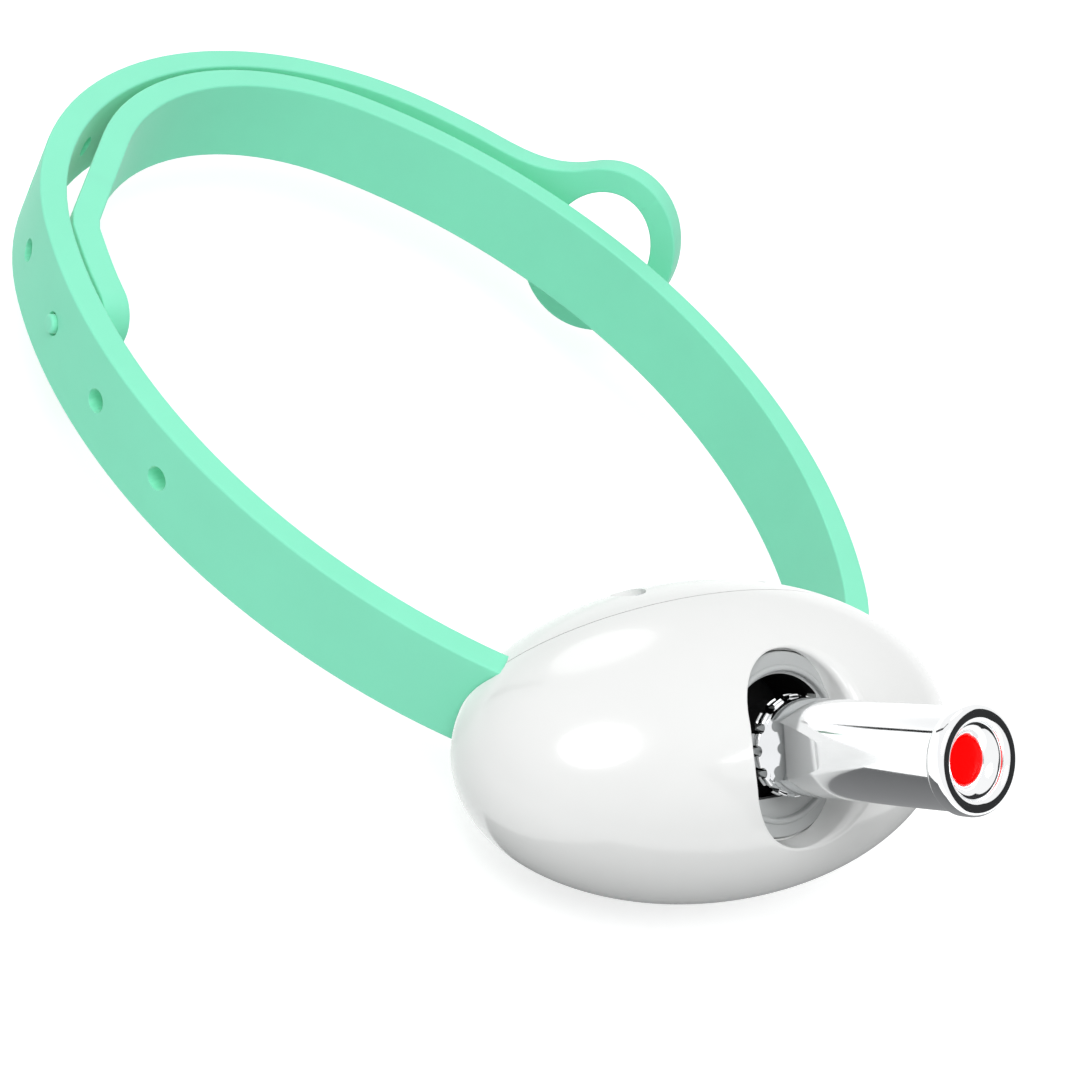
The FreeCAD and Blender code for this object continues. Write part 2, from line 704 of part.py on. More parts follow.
def make_laser_module():
    end = BARREL_END + RIM_LENGTH - RIM_ROUND - REFLECTOR_LENGTH - LENS_THICKNESS
    return cylinder(BARREL_BORE, end - MODULE_LENGTH, end)


# Gears, drawn about the turret's axis
def gear(teeth, low, high, phase, x=0.0, y=0.0):
    """A spur wheel with straight-sided teeth, one of them centred at the phase angle."""
    pitch_radius = GEAR_MODULE * teeth / 2
    tip = pitch_radius + ADDENDUM * GEAR_MODULE
    root = pitch_radius - DEDENDUM * GEAR_MODULE
    half = math.pi / (2 * teeth) * TOOTH_FILL
    slope = math.tan(math.radians(PRESSURE_ANGLE)) / pitch_radius
    half_tip = half - slope * (tip - pitch_radius)
    half_root = half + slope * (pitch_radius - root)
    points = []
    for index in range(teeth):
        middle = math.radians(phase) + 2 * math.pi * index / teeth
        flank = ((root, -half_root), (tip, -half_tip), (tip, half_tip), (root, half_root))
        for radius, offset in flank:
            angle = middle + offset
            points.append(Vector(x + radius * math.cos(angle), y + radius * math.sin(angle), low))
    wire = Part.makePolygon(points + points[:1])
    return Part.Face(wire).extrude(Vector(0, 0, high - low))


def phase_against(teeth, line_angle):
    """The phase that puts a gap of a wheel on the line to its neighbour."""
    return line_angle + 180 / teeth


def make_reduction_gear():
    """Two wheels in one: the small one drives the turret, the motor drives the large one."""
    small = gear(SMALL_WHEEL_TEETH, LARGE_WHEEL_TOP, TURRET_GEAR_TOP,
                 phase_against(SMALL_WHEEL_TEETH, 180), IDLER_X)
    large = gear(LARGE_WHEEL_TEETH, LARGE_WHEEL_BASE, LARGE_WHEEL_TOP, PINION_ANGLE, IDLER_X)
    bore = cylinder(AXLE_RADIUS + RUNNING_CLEARANCE, -REACH, REACH, IDLER_X)
    return small.fuse(large).cut(bore)


def make_gear_axle():
    return cylinder(AXLE_RADIUS, CHASSIS_BASE, TURRET_GEAR_TOP, IDLER_X)


def make_motor_pinion():
    pinion = gear(PINION_TEETH, LARGE_WHEEL_BASE, LARGE_WHEEL_TOP,
                  phase_against(PINION_TEETH, PINION_ANGLE + 180), PINION_X, PINION_V)
    return pinion.cut(motor_shaft())


def motor_shaft():
    return cylinder(MOTOR_SHAFT_RADIUS, CHASSIS_TOP, LARGE_WHEEL_TOP, PINION_X, PINION_V)


def make_drive_motor():
    return cylinder(MOTOR_RADIUS, CHASSIS_TOP - MOTOR_LENGTH, CHASSIS_TOP, PINION_X, PINION_V)


def make_chassis():
    """The plate across the housing that carries the motor, the axle and the turret's shaft."""
    plate = on_turret_axis(cylinder(REACH, CHASSIS_BASE, CHASSIS_TOP)).common(cavity())
    right = ROOT_X - ROOT_EYE_RADIUS - CHASSIS_EYE_GAP
    keep = box((CHASSIS_LEFT, -REACH, -REACH), (right, CHASSIS_BACK_Y, REACH))
    plate = plate.common(keep)
    bush = cylinder(TURRET_SHAFT_RADIUS + RUNNING_CLEARANCE, -REACH, REACH)
    axle = cylinder(AXLE_RADIUS, -REACH, REACH, IDLER_X)
    motor = cylinder(MOTOR_RADIUS, -REACH, REACH, PINION_X, PINION_V)
    for tool in (bush, axle, motor):
        plate = plate.cut(on_turret_axis(tool))
    return plate


# Battery and electronics
def make_battery_cell():
    front = BATTERY_BACK_Y - BATTERY_DEPTH
    half = BATTERY_HEIGHT / 2
    cell = box((BATTERY_LEFT, front, -half), (CHASSIS_LEFT, BATTERY_BACK_Y, half))
    uprights = [edge for edge in cell.Edges if edge.BoundBox.ZLength > half]
    return cell.makeFillet(BATTERY_EDGE_RADIUS, uprights)


def make_circuit_board():
    low = (-BOARD_LENGTH / 2, BOARD_REAR_Y - BOARD_THICKNESS, -BOARD_HEIGHT / 2)
    return box(low, (BOARD_LENGTH / 2, BOARD_REAR_Y, BOARD_HEIGHT / 2))


def socket_block(slack):
    half_width = SOCKET_WIDTH / 2 + slack
    half_height = SOCKET_HEIGHT / 2 + slack
    low = (SOCKET_X - half_width, BOARD_REAR_Y, -half_height)
    block = box(low, (SOCKET_X + half_width, REAR_FLAT_Y, half_height))
    corners = [edge for edge in block.Edges if edge.BoundBox.YLength > half_height]
    return block.makeFillet(half_height * SOCKET_CORNER_SHARE, corners)


def make_charging_socket():
    inner_width = SOCKET_WIDTH / 2 - SOCKET_WALL
    inner_height = SOCKET_HEIGHT / 2 - SOCKET_WALL
    floor = REAR_FLAT_Y - SOCKET_POCKET
    pocket = box((SOCKET_X - inner_width, floor, -inner_height), (SOCKET_X + inner_width, REACH, inner_height))
    half = TONGUE_THICKNESS / 2
    tongue_half = inner_width - 2 * SOCKET_WALL
    tongue = box((SOCKET_X - tongue_half, floor, -half), (SOCKET_X + tongue_half, REAR_FLAT_Y - TONGUE_SETBACK, half))
    return socket_block(0.0).cut(pocket).fuse(tongue)


def make_tact_switch():
    half = SWITCH_SIDE / 2
    top = BOARD_REAR_Y + SWITCH_HEIGHT
    body = box((BUTTON_X - half, BOARD_REAR_Y, -half), (BUTTON_X + half, top, half))
    return body.fuse(depth_cylinder(SWITCH_PLUNGER_RADIUS, top, top + SWITCH_PLUNGER_HEIGHT, BUTTON_X, 0))


def make_power_button():
    """A round cap in the rear cover; its flange keeps it in, its stem meets the switch."""
    foot = BOARD_REAR_Y + SWITCH_HEIGHT + SWITCH_PLUNGER_HEIGHT + BUTTON_TRAVEL + RUNNING_CLEARANCE
    flange_top = INNER_REAR_Y - RUNNING_CLEARANCE
    cap = depth_cylinder(BUTTON_RADIUS, flange_top, REAR_FLAT_Y - BUTTON_RECESS, BUTTON_X, 0)
    flange_low = flange_top - BUTTON_FLANGE_THICKNESS
    flange = depth_cylinder(BUTTON_FLANGE_RADIUS, flange_low, flange_top, BUTTON_X, 0)
    stem = depth_cylinder(SWITCH_PLUNGER_RADIUS, foot, flange_low, BUTTON_X, 0)
    return cap.fuse(flange).fuse(stem).removeSplitter()


HOUSING_PIECES = {
    "front_shell": make_front_shell,
    "rear_cover": make_rear_cover,
    "cover_screws": make_cover_screws,
    "strap_pins": make_strap_pins,
    "hole_strap": make_hole_strap,
    "peg_strap": make_peg_strap,
    "peg_strap_tip": make_peg_strap_tip,
    "strap_peg": make_strap_peg,
    "battery_cell": make_battery_cell,
    "circuit_board": make_circuit_board,
    "charging_socket": make_charging_socket,
    "tact_switch": make_tact_switch,
    "power_button": make_power_button,
    "gearbox_chassis": make_chassis,
}
TURRET_PIECES = {
    "turret_retainer": make_turret_retainer,
    "turret_disc": make_turret_disc,
    "turret_shaft": make_turret_shaft,
    "turret_gear": make_turret_gear,
    "tilt_pin": make_tilt_pin,
    "tilt_washers": make_tilt_washers,
    "barrel_root": make_barrel_root,
    "scalloped_collar": make_scalloped_collar,
    "laser_barrel": make_laser_barrel,
    "barrel_rim": make_barrel_rim,
    "reflector_cup": make_reflector_cup,
    "red_lens": make_red_lens,
    "laser_module": make_laser_module,
    "reduction_gear": make_reduction_gear,
    "gear_axle": make_gear_axle,
    "motor_pinion": make_motor_pinion,
    "drive_motor": make_drive_motor,
}


def main():
    os.makedirs("parts", exist_ok=True)
    for name, maker in HOUSING_PIECES.items():
        in_housing(maker()).exportStep(f"parts/{name}.step")
    for name, maker in TURRET_PIECES.items():
        in_housing(on_turret_axis(maker())).exportStep(f"parts/{name}.step")


main()
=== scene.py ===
import math

import bmesh
import bpy
from mathutils import Matrix, Vector


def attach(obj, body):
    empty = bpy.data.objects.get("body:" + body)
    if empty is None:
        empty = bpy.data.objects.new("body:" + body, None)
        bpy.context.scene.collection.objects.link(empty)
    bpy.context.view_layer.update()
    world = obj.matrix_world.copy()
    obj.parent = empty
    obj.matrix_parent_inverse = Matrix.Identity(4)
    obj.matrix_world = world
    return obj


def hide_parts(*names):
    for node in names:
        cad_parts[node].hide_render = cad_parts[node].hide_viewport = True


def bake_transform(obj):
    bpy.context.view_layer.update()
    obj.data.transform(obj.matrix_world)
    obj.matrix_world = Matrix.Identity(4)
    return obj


bl_info = {
    "name": "Laser collar",
    "version": (1, 0, 0),
    "blender": (4, 5, 0),
    "location": "View3D > Sidebar > Collar",
    "description": "Dresses a cat collar that carries a motor-driven laser turret",
    "category": "Object",
}

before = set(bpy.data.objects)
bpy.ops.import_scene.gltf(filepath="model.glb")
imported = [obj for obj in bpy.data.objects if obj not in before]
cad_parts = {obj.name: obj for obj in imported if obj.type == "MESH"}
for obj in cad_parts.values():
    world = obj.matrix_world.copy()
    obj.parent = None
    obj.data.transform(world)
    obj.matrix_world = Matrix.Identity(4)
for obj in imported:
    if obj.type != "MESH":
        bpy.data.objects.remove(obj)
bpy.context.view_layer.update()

MM = 0.001
AXIS_TURN = math.radians(42.5)
HOUSING_Y = -50.0
HOUSING_AT = Vector((0.0, HOUSING_Y * MM, 0.0))
WHITE = (1.0, 1.0, 1.0, 1.0)

# From here on in millimetres and degrees.
# Both straps as runs of (radius, turn); a radius of None is a straight length.
PEG_STRAP_START = ((18.7, -45.0), 34.6)
PEG_STRAP_RUNS = (
    (19.4, 29.9), (59.0, 84.6), (25.8, 86.5), (None, 14.124),
    (5.0, 26.262), (None, 3.455), (58.4, 10.714),
)
HOLE_STRAP_START = ((-18.7, -45.0), 145.4)
HOLE_STRAP_RUNS = ((61.5, -66.5), (35.0, -118.5), (77.0, -12.0), (None, 20.0))
HOLES_ALONG = [41.9 + 10.4 * index for index in range(8)]
HOLE_RADIUS = 1.2
EYELET_ALONG = 167.394
# The peg strap's length, and where its tip, a piece of its own, begins
PEG_STRAP_LENGTH = 165.0
TIP_BEGINS_ALONG = 144.0

# The housing: half sizes outside and inside, where its two shells meet, and its flat back
EGG = (28.6, 16.1, 14.1)
EGG_INSIDE = (27.0, 14.5, 12.5)
SEAM_Y = -42.0
SEAM_GAP = 0.08
BACK_Y = -36.4
BACK_INSIDE_Y = -38.0
TURRET_FACE = 10.2
BUTTON_X = -6.0
BARREL_RADIUS = 4.55
SCREW_SEAT = 10.2
SCREW_PLACES = [(x, z) for x in (-7.5, 7.5) for z in (-8.4, 8.4)]
# Just under the housing's lowest point
FLOOR_Z = -14.3


def linear(hex_colour):
    """Turn an sRGB hex colour into the linear values that the shaders take."""
    channels = [int(hex_colour[i:i + 2], 16) / 255 for i in (1, 3, 5)]
    return [c / 12.92 if c <= 0.04045 else ((c + 0.055) / 1.055) ** 2.4 for c in channels] + [1.0]


def colour_property(name, description, hex_colour):
    return bpy.props.FloatVectorProperty(
        name=name, description=description, subtype="COLOR", size=4,
        min=0.0, max=1.0, default=linear(hex_colour))


def length_property(name, description, millimetres):
    return bpy.props.FloatProperty(
        name=name, description=description, default=millimetres * MM, subtype="DISTANCE", unit="LENGTH")


class CollarSizes(bpy.types.PropertyGroup):
    """Sizes that a user may change."""
    strap_width: length_property("Strap width", "Height of both straps", 10.0)
    strap_thickness: length_property("Strap thickness", "Thickness of both straps", 2.8)
    strap_edge: length_property("Strap edge", "Radius of the straps' long edges", 1.1)
    hole_mouth: length_property("Hole mouth", "Rounding of the adjusting holes", 0.28)
    eyelet_half_length: length_property("Eyelet half length", "Half the eyelet's size along the strap", 9.0)
    eyelet_half_height: length_property("Eyelet half height", "Half the eyelet's height", 10.9)
    eyelet_bar: length_property("Eyelet bar", "Width of the eyelet's bar", 3.0)


class CollarColours(bpy.types.PropertyGroup):
    """Colours that a user may change."""
    mint: colour_property("Straps", "Silicone of the straps", "#8DEFCB")
    shell: colour_property("Housing", "Plastic of the housing shells", "#ECEDEC")
    turret: colour_property("Turret", "Plastic of the turret disc", "#B9BCBC")
    chrome: colour_property("Chrome", "Plating of the laser barrel", "#F8F9FA")
    lens: colour_property("Lens", "Laser window", "#FF0000")
    floor: colour_property("Floor", "Floor and backdrop", "#D3D4D4")


# A Mix node keeps its sockets for every type of data, so those for colours go by number
MIX_FIRST, MIX_SECOND, MIX_RESULT = 6, 7, 2


def add_node(tree, kind, settings=None, links=None):
    """Add one node, set its attributes or sockets, and link its inputs."""
    node = tree.nodes.new(kind)
    for name, value in (settings or {}).items():
        if isinstance(name, str) and hasattr(node, name):
            setattr(node, name, value)
        else:
            node.inputs[name].default_value = value
    for name, source in (links or {}).items():
        tree.links.new(source, node.inputs[name])
    return node


def new_material(name):
    material = bpy.data.materials.new(name)
    material.use_nodes = True
    material.node_tree.nodes.clear()
    return material, material.node_tree


def moulded(name, colour, cloud_mm, grain_mm, roughness, relief, settings):
    """Moulded rubber or plastic: faint flow clouds in its tone, and the mould's own fine skin."""
    material, tree = new_material(name)
    place = add_node(tree, "ShaderNodeTexCoord").outputs["Object"]
    cloud = add_node(tree, "ShaderNodeTexNoise", {"Scale": 1 / (cloud_mm * MM), "Detail": 3.0},
                     {"Vector": place})
    skin = add_node(tree, "ShaderNodeTexNoise", {"Scale": 1 / (grain_mm * MM), "Detail": 2.0},
                    {"Vector": place})
    tone = add_node(tree, "ShaderNodeMapRange",
                    {"From Min": 0.35, "From Max": 0.65, "To Min": 0.985, "To Max": 1.01},
                    {"Value": cloud.outputs["Fac"]})
    tint = add_node(tree, "ShaderNodeVectorMath", {"operation": "SCALE", "Vector": colour[:3]},
                    {"Scale": tone.outputs["Result"]})
    rough = add_node(tree, "ShaderNodeMapRange", {"To Min": roughness[0], "To Max": roughness[1]},
                     {"Value": skin.outputs["Fac"]})
    uneven = add_node(tree, "ShaderNodeBump", {"Strength": relief[0], "Distance": relief[1] * MM},
                      {"Height": skin.outputs["Fac"]})
    shader = add_node(tree, "ShaderNodeBsdfPrincipled", settings,
                      {"Base Color": tint.outputs["Vector"], "Roughness": rough.outputs["Result"],
                       "Normal": uneven.outputs["Normal"]})
    add_node(tree, "ShaderNodeOutputMaterial", {}, {"Surface": shader.outputs["BSDF"]})
    return material


def silicone(name, colour):
    """Soft sheen, with a little light going inside."""
    return moulded(name, colour, 9.0, 0.35, (0.44, 0.56), (0.25, 0.02),
                   {"IOR": 1.41, "Specular IOR Level": 0.35, "Subsurface Weight": 0.12,
                    "Subsurface Radius": (1.0, 1.0, 1.0), "Subsurface Scale": 1.2 * MM})


def plastic(name, colour, low, high, coat=0.0):
    """Even and opaque; a coat gives the housing its gloss."""
    return moulded(name, colour, 14.0, 0.6, (low, high), (0.2, 0.006),
                   {"IOR": 1.53, "Coat Weight": coat, "Coat Roughness": 0.05})


def plated_metal(name, colour, low, high):
    """Polished and plated metal: a mirror with faint handling haze."""
    material, tree = new_material(name)
    place = add_node(tree, "ShaderNodeTexCoord").outputs["Object"]
    haze = add_node(tree, "ShaderNodeTexNoise", {"Scale": 1 / (5.0 * MM), "Detail": 3.0},
                    {"Vector": place})
    grain = add_node(tree, "ShaderNodeTexNoise", {"Scale": 1 / (0.4 * MM), "Detail": 2.0},
                     {"Vector": place})
    tone = add_node(tree, "ShaderNodeMapRange",
                    {"From Min": 0.35, "From Max": 0.65, "To Min": 0.97, "To Max": 1.0},
                    {"Value": haze.outputs["Fac"]})
    tint = add_node(tree, "ShaderNodeVectorMath", {"operation": "SCALE", "Vector": colour[:3]},
                    {"Scale": tone.outputs["Result"]})
    rough = add_node(tree, "ShaderNodeMapRange", {"To Min": low, "To Max": high},
                     {"Value": haze.outputs["Fac"]})
    relief = add_node(tree, "ShaderNodeBump", {"Strength": 0.05, "Distance": 0.002 * MM},
                      {"Height": grain.outputs["Fac"]})
    metal = add_node(tree, "ShaderNodeBsdfPrincipled", {"Metallic": 1.0},
                     {"Base Color": tint.outputs["Vector"], "Roughness": rough.outputs["Result"],
                      "Normal": relief.outputs["Normal"]})
    add_node(tree, "ShaderNodeOutputMaterial", {}, {"Surface": metal.outputs["BSDF"]})
    return material


def painted_glow_lens(name, colour):
    """Red acrylic window with a painted glow from its emission, and a finely clouded back face."""
    material, tree = new_material(name)
    place = add_node(tree, "ShaderNodeTexCoord").outputs["Object"]
    cloud = add_node(tree, "ShaderNodeTexNoise", {"Scale": 1 / (0.8 * MM), "Detail": 1.0},
                     {"Vector": place})
    tone = add_node(tree, "ShaderNodeMapRange",
                    {"From Min": 0.35, "From Max": 0.65, "To Min": 0.5, "To Max": 0.6},
                    {"Value": cloud.outputs["Fac"]})
    tint = add_node(tree, "ShaderNodeVectorMath", {"operation": "SCALE", "Vector": colour[:3]},
                    {"Scale": tone.outputs["Result"]})
    # The emission paints a red glow: the window is no lamp
    acrylic = add_node(tree, "ShaderNodeBsdfPrincipled",
                       {"IOR": 1.49, "Roughness": 0.25, "Specular IOR Level": 0.1,
                        "Emission Color": colour, "Emission Strength": 0.9},
                       {"Base Color": tint.outputs["Vector"]})
    add_node(tree, "ShaderNodeOutputMaterial", {}, {"Surface": acrylic.outputs["BSDF"]})
    return material


def solder_mask(name, hex_dark, hex_light):
    """Circuit board: green solder mask with slightly raised copper tracks under it."""
    material, tree = new_material(name)
    place = add_node(tree, "ShaderNodeTexCoord").outputs["Object"]
    tracks = add_node(tree, "ShaderNodeTexVoronoi",
                      {"distance": "MANHATTAN", "feature": "DISTANCE_TO_EDGE", "Scale": 1 / (1.6 * MM),
                       "Randomness": 0.55},
                      {"Vector": place})
    gap = add_node(tree, "ShaderNodeMapRange", {"From Min": 0.04, "From Max": 0.07},
                   {"Value": tracks.outputs["Distance"]})
    tint = add_node(tree, "ShaderNodeMix",
                    {"data_type": "RGBA", MIX_FIRST: linear(hex_light), MIX_SECOND: linear(hex_dark)},
                    {"Factor": gap.outputs["Result"]})
    relief = add_node(tree, "ShaderNodeBump", {"Strength": 0.3, "Distance": 0.03 * MM},
                      {"Height": tracks.outputs["Distance"]})
    board = add_node(tree, "ShaderNodeBsdfPrincipled", {"IOR": 1.5, "Roughness": 0.3},
                     {"Base Color": tint.outputs[MIX_RESULT], "Normal": relief.outputs["Normal"]})
    add_node(tree, "ShaderNodeOutputMaterial", {}, {"Surface": board.outputs["BSDF"]})
    return material


def turned_metal(name, hex_colour, pitch_mm):
    """Lathe-turned metal: fine rings along its length."""
    material, tree = new_material(name)
    place = add_node(tree, "ShaderNodeTexCoord").outputs["Object"]
    rings = add_node(tree, "ShaderNodeTexWave",
                     {"bands_direction": "Y", "Scale": 0.1 / (pitch_mm * MM), "Distortion": 0.4},
                     {"Vector": place})
    tone = add_node(tree, "ShaderNodeMapRange",
                    {"From Min": 0.2, "From Max": 0.8, "To Min": 0.85, "To Max": 1.0},
                    {"Value": rings.outputs["Fac"]})
    tint = add_node(tree, "ShaderNodeVectorMath", {"operation": "SCALE", "Vector": linear(hex_colour)[:3]},
                    {"Scale": tone.outputs["Result"]})
    relief = add_node(tree, "ShaderNodeBump", {"Strength": 0.3, "Distance": 0.01 * MM},
                      {"Height": rings.outputs["Fac"]})
    metal = add_node(tree, "ShaderNodeBsdfPrincipled", {"Metallic": 1.0, "Roughness": 0.28},
                     {"Base Color": tint.outputs["Vector"], "Normal": relief.outputs["Normal"]})
    add_node(tree, "ShaderNodeOutputMaterial", {}, {"Surface": metal.outputs["BSDF"]})
    return material


def shared(name, maker, *values):
    """The material of that name, made at its first use."""
    return bpy.data.materials.get(name) or maker(name, *values)


def materials(context):
    colours = context.scene.collar_colours
    return {
        # Mint rubber with a satin skin, and the glossy white shells
        "silicone": shared("moulded_silicone", silicone, colours.mint),
        "shell": shared("gloss_abs", plastic, colours.shell, 0.16, 0.24, 0.4),
        # Satin grey turret and button; matt black, which also paints shade into the turret's cup
        "turret": shared("satin_nylon", plastic, colours.turret, 0.3, 0.42),
        "black": shared("black_abs", plastic, linear("#0B0B0C"), 0.4, 0.55),
        # Ivory gears and the blue wrap of the battery
        "acetal": shared("gear_acetal", plastic, linear("#E9E6DA"), 0.32, 0.45),
        "wrap": shared("cell_wrap", plastic, linear("#2F5FA8"), 0.2, 0.32),
        # The barrel is a clean mirror, the screws and pins a dull grey one
        "chrome": shared("polished_chrome", plated_metal, colours.chrome, 0.04, 0.09),
        "steel": shared("zinc_plated_steel", plated_metal, linear("#B9BCC0"), 0.24, 0.36),
        # Yellow pinion and grey motor can, both with fine turning rings
        "brass": shared("turned_brass", turned_metal, "#C9A24B", 0.25),
        "can": shared("turned_steel_can", turned_metal, "#B5B8BC", 0.35),
        # Glowing red window and the green board
        "lens": shared("lit_red_acrylic", painted_glow_lens, colours.lens),
        "board": shared("solder_mask", solder_mask, "#0F5A32", "#2C8A55"),
    }


# Working with one piece, as by hand
def select_only(obj):
    bpy.ops.object.select_all(action="DESELECT")
    obj.select_set(True)
    bpy.context.view_layer.objects.active = obj


def start(add_primitive, **settings):
    """Deselect everything, add a primitive and return it."""
    bpy.ops.object.select_all(action="DESELECT")
    add_primitive(**settings)
    return bpy.context.active_object


def editing(obj, mode="FACE"):
    select_only(obj)
    bpy.ops.object.mode_set(mode="EDIT")
    bpy.ops.mesh.select_mode(type=mode)
    bpy.ops.mesh.select_all(action="SELECT")


def done_editing():
    bpy.ops.object.mode_set(mode="OBJECT")


def pick(obj, kind, test):
    """In edit mode, select only the faces, edges or vertices that pass a test."""
    bpy.ops.mesh.select_all(action="DESELECT")
    mesh = bmesh.from_edit_mesh(obj.data)
    chosen = [item for item in getattr(mesh, kind) if test(item)]
    for item in chosen:
        item.select_set(True)
    mesh.select_flush(True)
    bmesh.update_edit_mesh(obj.data)
    if not chosen:
        raise RuntimeError(f"{obj.name}: nothing was found to select")


def apply_modifier(obj, kind, **settings):
    select_only(obj)
    modifier = obj.modifiers.new(kind.title(), kind)
    for name, value in settings.items():
        setattr(modifier, name, value)
    bpy.ops.object.modifier_apply(modifier=modifier.name)


def combine(obj, other, operation):
    """Cut, join or keep the common part of another mesh, then delete that mesh."""
    apply_modifier(obj, "BOOLEAN", operation=operation, object=other, solver="EXACT")
    bpy.data.objects.remove(other)
    if not obj.data.polygons:
        raise RuntimeError(f"{obj.name}: nothing is left after {operation}")


def place_on_axis(obj):
    """Turn a piece drawn along Z at the housing's middle onto the turret's axis."""
    obj.matrix_world = Matrix.Translation(HOUSING_AT) @ Matrix.Rotation(AXIS_TURN, 4, "X") @ obj.matrix_world


def settle(obj):
    """Put the piece's place into its mesh."""
    select_only(obj)
    bpy.ops.object.transform_apply(location=True, rotation=True, scale=True)


def outward(obj):
    """Weld points closer than 2 micrometres and turn every face outwards."""
    editing(obj)
    bpy.ops.mesh.remove_doubles(threshold=0.002 * MM)
    bpy.ops.mesh.select_all(action="SELECT")
    bpy.ops.mesh.normals_make_consistent(inside=False)
    done_editing()


def round_sharp_edges(obj, radius, segments):
    apply_modifier(obj, "BEVEL", width=radius, segments=segments, limit_method="ANGLE",
                   angle_limit=math.radians(40), use_clamp_overlap=True, miter_outer="MITER_ARC")


def hand_over(obj, name, material, body, replaced, angle=38):
    """Finish a piece: smooth shading, name, material, body and the node it stands for."""
    settle(obj)
    obj.name = name
    obj.data.name = name
    select_only(obj)
    bpy.ops.object.shade_smooth_by_angle(angle=math.radians(angle))
    apply_modifier(obj, "WEIGHTED_NORMAL", keep_sharp=True)
    obj.data.materials.clear()
    obj.data.materials.append(material)
    if body:
        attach(obj, body)
    if replaced:
        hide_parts(*replaced)


def ahead(angle):
    return Vector((math.cos(math.radians(angle)), math.sin(math.radians(angle)), 0))


def strap_path(start_at, runs):
    """A Bezier curve along tangent arcs, for a strap to bend along."""
    (x, y), heading = start_at
    knots = [(Vector((x, y, 0)), heading, 0.0)]
    for radius, amount in runs:
        pieces = 1 if radius is None else max(1, math.ceil(abs(amount) / 15))
        for _ in range(pieces):
            point, angle = knots[-1][:2]
            if radius is None:
                knots.append((point + ahead(angle) * amount, angle, amount / 3))
                continue
            turn = amount / pieces
            side = math.copysign(1, turn)
            centre = point + ahead(angle + 90) * (side * radius)
            handle = 4 / 3 * math.tan(math.radians(abs(turn)) / 4) * radius
            knots.append((centre - ahead(angle + turn + 90) * (side * radius), angle + turn, handle))
    data = bpy.data.curves.new("strap_path", "CURVE")
    data.dimensions = "3D"
    data.twist_mode = "Z_UP"
    data.resolution_u = 24
    spline = data.splines.new("BEZIER")
    spline.bezier_points.add(len(knots) - 1)
    for index, (point, angle, before) in enumerate(knots):
        after = knots[index + 1][2] if index + 1 < len(knots) else before
        knot = spline.bezier_points[index]
        knot.co = point * MM
        knot.handle_left_type = knot.handle_right_type = "FREE"
        knot.handle_left = (point - ahead(angle) * (before if index else after)) * MM
        knot.handle_right = (point + ahead(angle) * after) * MM
    path = bpy.data.objects.new("strap_path", data)
    bpy.context.scene.collection.objects.link(path)
    return path


def bend_along(obj, start_at, runs, length_mm):
    """Slice a flat strap across about every 1.8 mm and bend it along its path."""
    settle(obj)
    count = int(length_mm / 1.8)
    editing(obj)
    for index in range(1, count):
        bpy.ops.mesh.select_all(action="SELECT")
        bpy.ops.mesh.bisect(plane_co=(index * length_mm * MM / count, 0, 0), plane_no=(1, 0, 0))
    done_editing()
    path = strap_path(start_at, runs)
    apply_modifier(obj, "CURVE", object=path, deform_axis="POS_X")
    bpy.data.objects.remove(path)


def cut_across(obj, along, keep_start):
    """Keep a flat strap on one side of a place along it, and close the cut."""
    editing(obj)
    bpy.ops.mesh.bisect(plane_co=(along * MM, 0, 0), plane_no=(1, 0, 0), use_fill=True,
                        clear_outer=keep_start, clear_inner=not keep_start)
    done_editing()


def flat_outline(sizes, length_mm, eyelet_at=None):
    """The strap lying flat: the points of its outline in the XZ plane."""
    half = sizes.strap_width / 2
    if eyelet_at is None:
        end, radius = length_mm * MM, 3.2 * MM
        upper = [(0.0, half)]
        for step in range(13):
            angle = math.radians(7.5 * step)
            upper.append((end - radius + radius * math.sin(angle), half - radius * (1 - math.cos(angle))))
    else:
        centre = eyelet_at * MM
        wide, high = sizes.eyelet_half_length, sizes.eyelet_half_height
        ring = [(centre - wide * math.cos(a), high * math.sin(a))
                for a in [math.radians(52 + 4 * step) for step in range(33)]]
        first_x, first_z = ring[0]
        slope = high / wide / math.tan(math.radians(52))
        # The strap's edge swells to the ring's own slope over this length
        span = 13.5 * MM
        neck = []
        for step in range(17):
            t = step / 16
            rise = t * t * (3 - 2 * t) * (first_z - half) + (t ** 3 - t * t) * slope * span
            neck.append((first_x - span + span * t, half + rise))
        upper = [(0.0, half)] + neck[:-1] + ring
    lower = [(x, -z) for x, z in reversed(upper) if z > 1e-7]
    return upper + lower


def flat_strap(sizes, outline):
    """Fill the outline from one circle's points and give it thickness."""
    obj = start(bpy.ops.mesh.primitive_circle_add, vertices=len(outline), radius=0.01, fill_type="NGON")
    for vertex, (x, z) in zip(obj.data.vertices, outline):
        vertex.co = (x, -sizes.strap_thickness / 2, z)
    editing(obj)
    bpy.ops.mesh.extrude_region_move(TRANSFORM_OT_translate={"value": (0, sizes.strap_thickness, 0)})
    bpy.ops.mesh.select_all(action="SELECT")
    bpy.ops.mesh.normals_make_consistent(inside=False)
    done_editing()
    return obj


def bevel_rims(obj, radius, segments, test):
    """Round the edges that pass a test, all faces being still flat."""
    editing(obj, "EDGE")
    pick(obj, "edges", test)
    bpy.ops.mesh.bevel(offset=radius, offset_type="OFFSET", segments=segments, profile=0.5,
                       clamp_overlap=True, affect="EDGES")
    done_editing()


def on_faces(edge, half):
    """True for an edge that lies in one of the strap's two flat faces."""
    first, second = (v.co for v in edge.verts)
    together = abs(first.y - second.y) < 1e-7
    return together and abs(abs(first.y) - half) < 1e-6 and edge.calc_face_angle(0) > math.radians(60)


